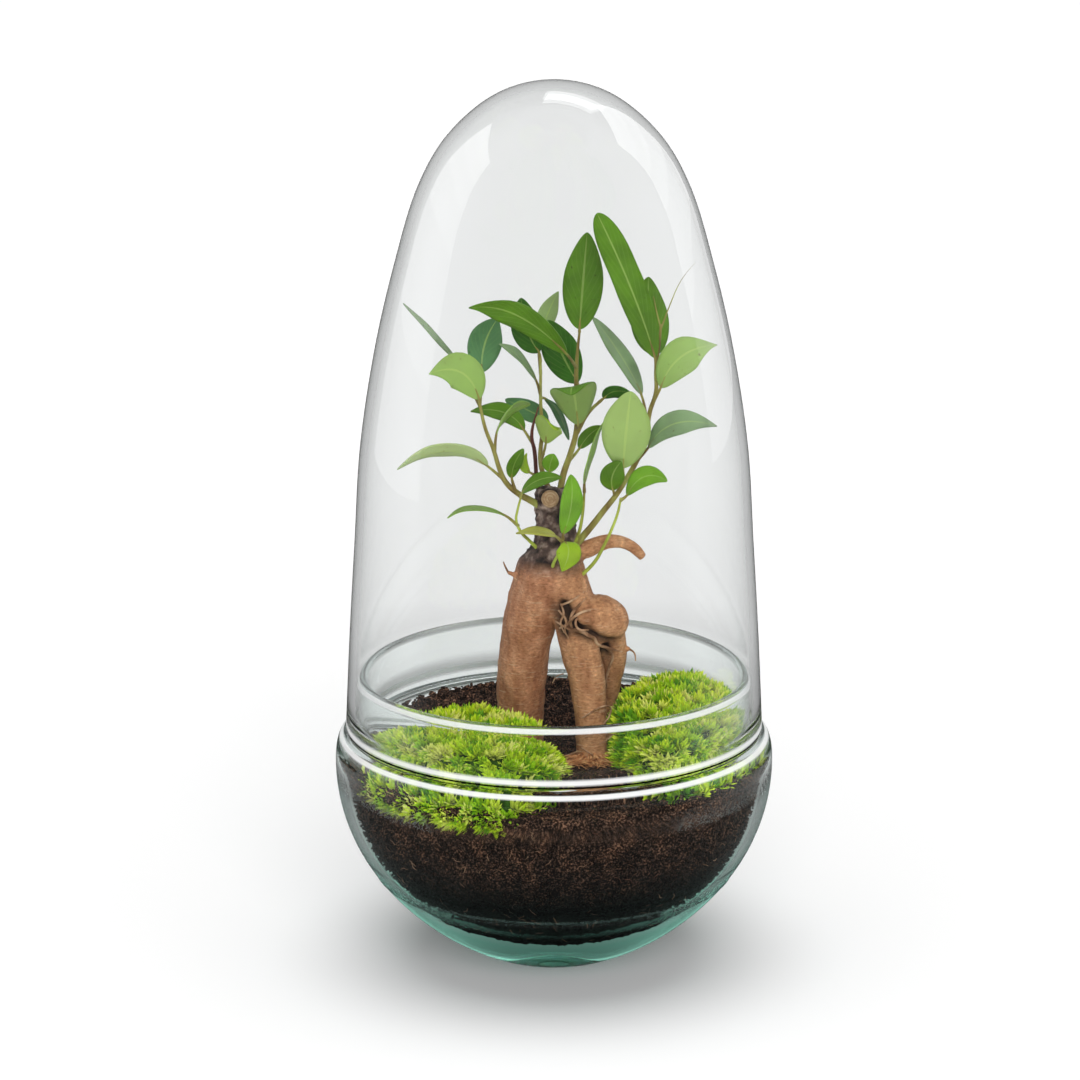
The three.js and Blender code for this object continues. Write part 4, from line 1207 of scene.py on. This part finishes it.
def grow_shoot(name, stems, leaves, skin=green_twig):
    """A shoot from its twigs and leaves, all in mm, as one piece."""
    grown = [as_twig(tapered_tubes("twig", stems, 3, 6, TWIG_LOSS), skin)]
    stalks = []
    for one in leaves:
        start = point_at_height(stems[one["stem"]], one["off"])
        base, bend, tip = (Vector(one[key]) for key in ("base", "bend", "tip"))
        rib_end = base * 0.74 + bend * 0.24 + tip * 0.02
        stalks.append([(*start[:3], 0.6), (*base, 0.42), (*rib_end, 0.25)])
        shape = [one[key] for key in ("width", "roll", "fold", "tint", "point")]
        grown.append(leaf_blade(base, bend, tip, *shape))
    grown.append(as_twig(tapered_tubes("stalks", stalks, 2, 6), green_twig))
    piece = join_pieces(name + "_leaves", grown)
    bpy.ops.object.shade_smooth()
    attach(piece, "root")
    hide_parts(name)


SHOOTS = {
    "shoot_left": (
        [[(-3.5, -1.5, 157, 1.4), (-7.5, -3, 160, 1.3), (-11.5, -4, 162.5, 1.15), (-16, -7, 167.5, 1),
          (-18, -9, 172.5, 0.9), (-20, -10, 179.5, 0.8), (-22.5, -11, 186.5, 0.7), (-24.5, -12, 196, 0.6)]],
        [
            leaf(
                195, (-24.5, -13, 197), (-28, -20, 212.5), (-40.5, -16, 206), 12.5, 180, 0.12, "fresh",
                point=0.7,
            ),
            leaf(195, (-24, 5, 202), (-25, 14, 210), (-19, 19, 217), 11.5, 0, 0.15, "blue"),
            leaf(194, (-32, -2, 207), (-39, 0, 215), (-50, 2, 226), 4.6, 78, 0.2, "mist_sheen", point=0.5),
            leaf(168, (-22, -11, 174), (-34, -20, 187), (-51, -16, 174), 10, 128, 0.2, "silver_sheen", point=0.5),
            leaf(178, (-19, -8, 184), (-17, -2, 193), (-8, 5, 191), 7.5, 60, 0.25, "pale"),
            leaf(164, (-14, -7, 169), (-14, -11, 175), (-10, -12, 180), 5, 20, 0.25, "leaf"),
        ],
    ),
    "shoot_middle": (
        [[(-0.8, 3.8, 160, 1.2), (-3, 4.4, 165.5, 1), (-4.5, 5, 171, 0.9), (-4, 8, 181.5, 0.75),
          (-4.5, 10, 191.5, 0.65), (-4.5, 11, 199.5, 0.6), (-4.5, 12, 205, 0.5)]],
        [
            leaf(204, (-5, 13, 207), (-10, 18, 212), (-11, 15, 225), 10.5, 5, 0.15, "deep"),
            leaf(200, (-5, 27, 208), (-3, 31, 216), (1.5, 31, 224), 6.5, 180, 0.2, "mist_sheen", point=0.5),
            leaf(193, (-6, 6, 199), (-11, 1, 209), (-18, -2, 213), 6, 75, 0.25, "mist_sheen", point=0.5),
            leaf(171, (-2.7, 0, 179), (-2.5, -7, 190.5), (1, -11, 186), 10, 172, 0.15, "lime"),
            leaf(181, (-2, 16, 183), (-7, 21, 184.5), (-16.5, 20, 189.3), 7, 15, 0.2, "blue"),
            leaf(192, (-3, 14, 191), (2, 18, 188), (5, 17, 176), 5, 50, 0.25, "blue"),
            leaf(166, (-1.5, -3, 170), (-1.5, -6, 174), (0, -7, 177), 5.6, 0, 0.15, "fresh"),
        ],
    ),
    "shoot_short": (
        [[(-4, 2, 159.5, 0.9), (-5.8, 0.5, 165, 0.85), (-6, -1, 170, 0.8), (-6.5, -2, 177, 0.8),
          (-7.4, -2, 182, 0.7), (-5.2, -2, 191.8, 0.3)]],
        [
            leaf(179, (-10, 2, 183), (-15, 10, 190), (-28, 12, 187), 6.5, 35, 0.2, "leaf", point=0.5),
            leaf(168, (-8, -4, 170), (-12, -6, 173), (-9, -6, 177), 4, 50, 0.25, "lime"),
        ],
    ),
    "shoot_tall": (
        [
            [(1.8, 1.2, 160, 1.3), (3, 3, 167, 1.2), (5.5, 6, 174, 1.1), (7.5, 8, 181.5, 1),
             (7.5, 10, 191.5, 0.9), (7.5, 12, 202, 0.8), (8, 12, 209, 0.6), (8.5, 12, 214, 0.5)],
            [(7.5, 8, 180, 0.8), (11.5, 6, 188, 0.75), (15.5, 4, 192.5, 0.6)],
        ],
        [
            leaf(214, (8.5, 12, 215), (9.5, 17, 228), (11, 10, 248), 13.6, 5, 0.12, "leaf"),
            leaf(202, (4, 2, 209), (-13, -10, 230), (-27.5, -16, 228), 10, -20, 0.2, "leaf", point=0.6),
            leaf(194, (8, 16, 196), (2, 24, 204), (-2, 22, 216), 12.5, 0, 0.12, "deep"),
            leaf(182, (8, 2, 185), (6, -9, 206), (5.5, -16, 199), 15.5, 180, 0.15, "leaf"),
            leaf(192, (16.5, 3.5, 193.5), (19.5, 2, 198), (25.5, 0, 196), 6, 32, 0.2, "deep", 1),
            leaf(171, (8.5, 9, 175), (11, 10, 180), (16, 8, 183), 6, 25, 0.2, "leaf"),
        ],
    ),
    "shoot_right": (
        [
            [(5.5, -3, 143, 1.5), (12, -6, 151.5, 1.2), (16.5, -8, 158, 1.1), (20.5, -9, 163.5, 1),
             (24, -10, 169.5, 0.95), (27, -10, 175, 1), (30, -9, 182, 0.9), (31.5, -8, 191.5, 0.85),
             (33.5, -7, 198, 0.8), (33.5, -6, 205, 0.75), (34.5, -6, 214.5, 0.65), (35, -6, 220.5, 0.5)],
            [(35, -6, 219, 0.4), (37.5, -6, 226, 0.3), (41.5, -5, 235, 0.2), (46, -5, 241, 0.12)],
            [(35, -6, 219, 0.4), (33.5, -7, 225, 0.35), (32.5, -7, 230, 0.2)],
        ],
        [
            leaf(168, (22.7, -14, 174), (23.2, -22, 188), (25, -15, 200), 16, 180, 0.1, "pale"),
            leaf(163, (19.5, -12, 166), (17.5, -17, 172), (22, -17, 177), 8, 0, 0.15, "leaf"),
            leaf(175, (31, -14, 181), (37, -23, 195.5), (52.3, -21, 189.7), 8.8, -38, 0.2, "mist_sheen", point=0.6),
            leaf(194, (35, -9, 200), (39, -15, 215), (53, -8, 214), 12, 165, 0.15, "fresh", point=0.8),
            leaf(205, (33, -9, 210), (27, -15, 232), (14, -4, 257), 10, 8, 0.18, "leaf", point=-0.7),
            leaf(206, (34, 0, 209), (31, 10, 216), (31.5, 11, 233), 12.8, 0, 0.12, "leaf"),
            leaf(187, (29, 3, 195), (23.5, 12, 206), (13, 17, 218), 8, 52, 0.2, "mist_sheen"),
        ],
    ),
    "shoot_low_right": (
        [[(8, -5.5, 134, 0.8), (13.5, -10, 141, 0.7), (16.5, -12, 147, 0.65), (19, -13.5, 153, 0.6),
          (21, -14.5, 159, 0.55), (22, -14.5, 164, 0.5)]],
        [leaf(163, (24, -15, 165), (29, -18, 176), (37, -16, 170), 7, -30, 0.25, "fresh")],
    ),
    "shoot_front_thin": (
        [[(5, -5.5, 142, 0.8), (8, -9.5, 150, 0.7), (9.5, -11, 158, 0.6), (10, -11, 165, 0.5)]],
        [leaf(165, (10, -11.5, 168), (10.5, -15, 179), (16, -13, 189), 6.5, 72, 0.25, "pale")],
    ),
    "shoot_front": (
        [[(-1, -8, 136, 0.8), (0, -12.5, 141.5, 0.65), (2, -14.5, 146, 0.6), (3, -14.5, 150, 0.5)]],
        [
            leaf(150, (3, -15, 152), (7, -20, 163), (5.5, -15, 172), 7.6, 15, 0.2, "fresh"),
            leaf(
                149, (0.5, -14.5, 151), (-5, -17, 154.5), (-12.5, -13, 151.5), 4.6, 68, 0.2, "yellow",
                point=0.5,
            ),
            leaf(147, (3.6, -16, 149.3), (6.5, -21, 148), (2.6, -18, 140), 8.2, 0, 0.12, "lime", point=0.5),
        ],
    ),
    "shoot_low_left": (
        [[(-4.5, -4, 143, 0.8), (-8.5, -8, 148, 0.65), (-11, -9, 151, 0.6), (-12.5, -9.5, 155, 0.55),
          (-12, -10.5, 159, 0.5), (-11, -11, 163, 0.45)]],
        [
            leaf(153, (-16, -11, 157), (-28, -14, 163), (-35, -14, 157), 4, 80, 0.25, "pale", point=0.5),
            leaf(163, (-10.5, -12, 165), (-6, -17, 172.3), (2.5, -15, 171), 5.2, -45, 0.2, "leaf"),
        ],
    ),
}
TWIG_SKINS = {
    "shoot_short": red_twig,
    "shoot_low_right": young_twig,
    "shoot_front_thin": young_twig,
    "shoot_front": young_twig,
    "shoot_low_left": young_twig,
}
for name, (stems, leaves) in SHOOTS.items():
    grow_shoot(name, stems, leaves, TWIG_SKINS.get(name, green_twig))
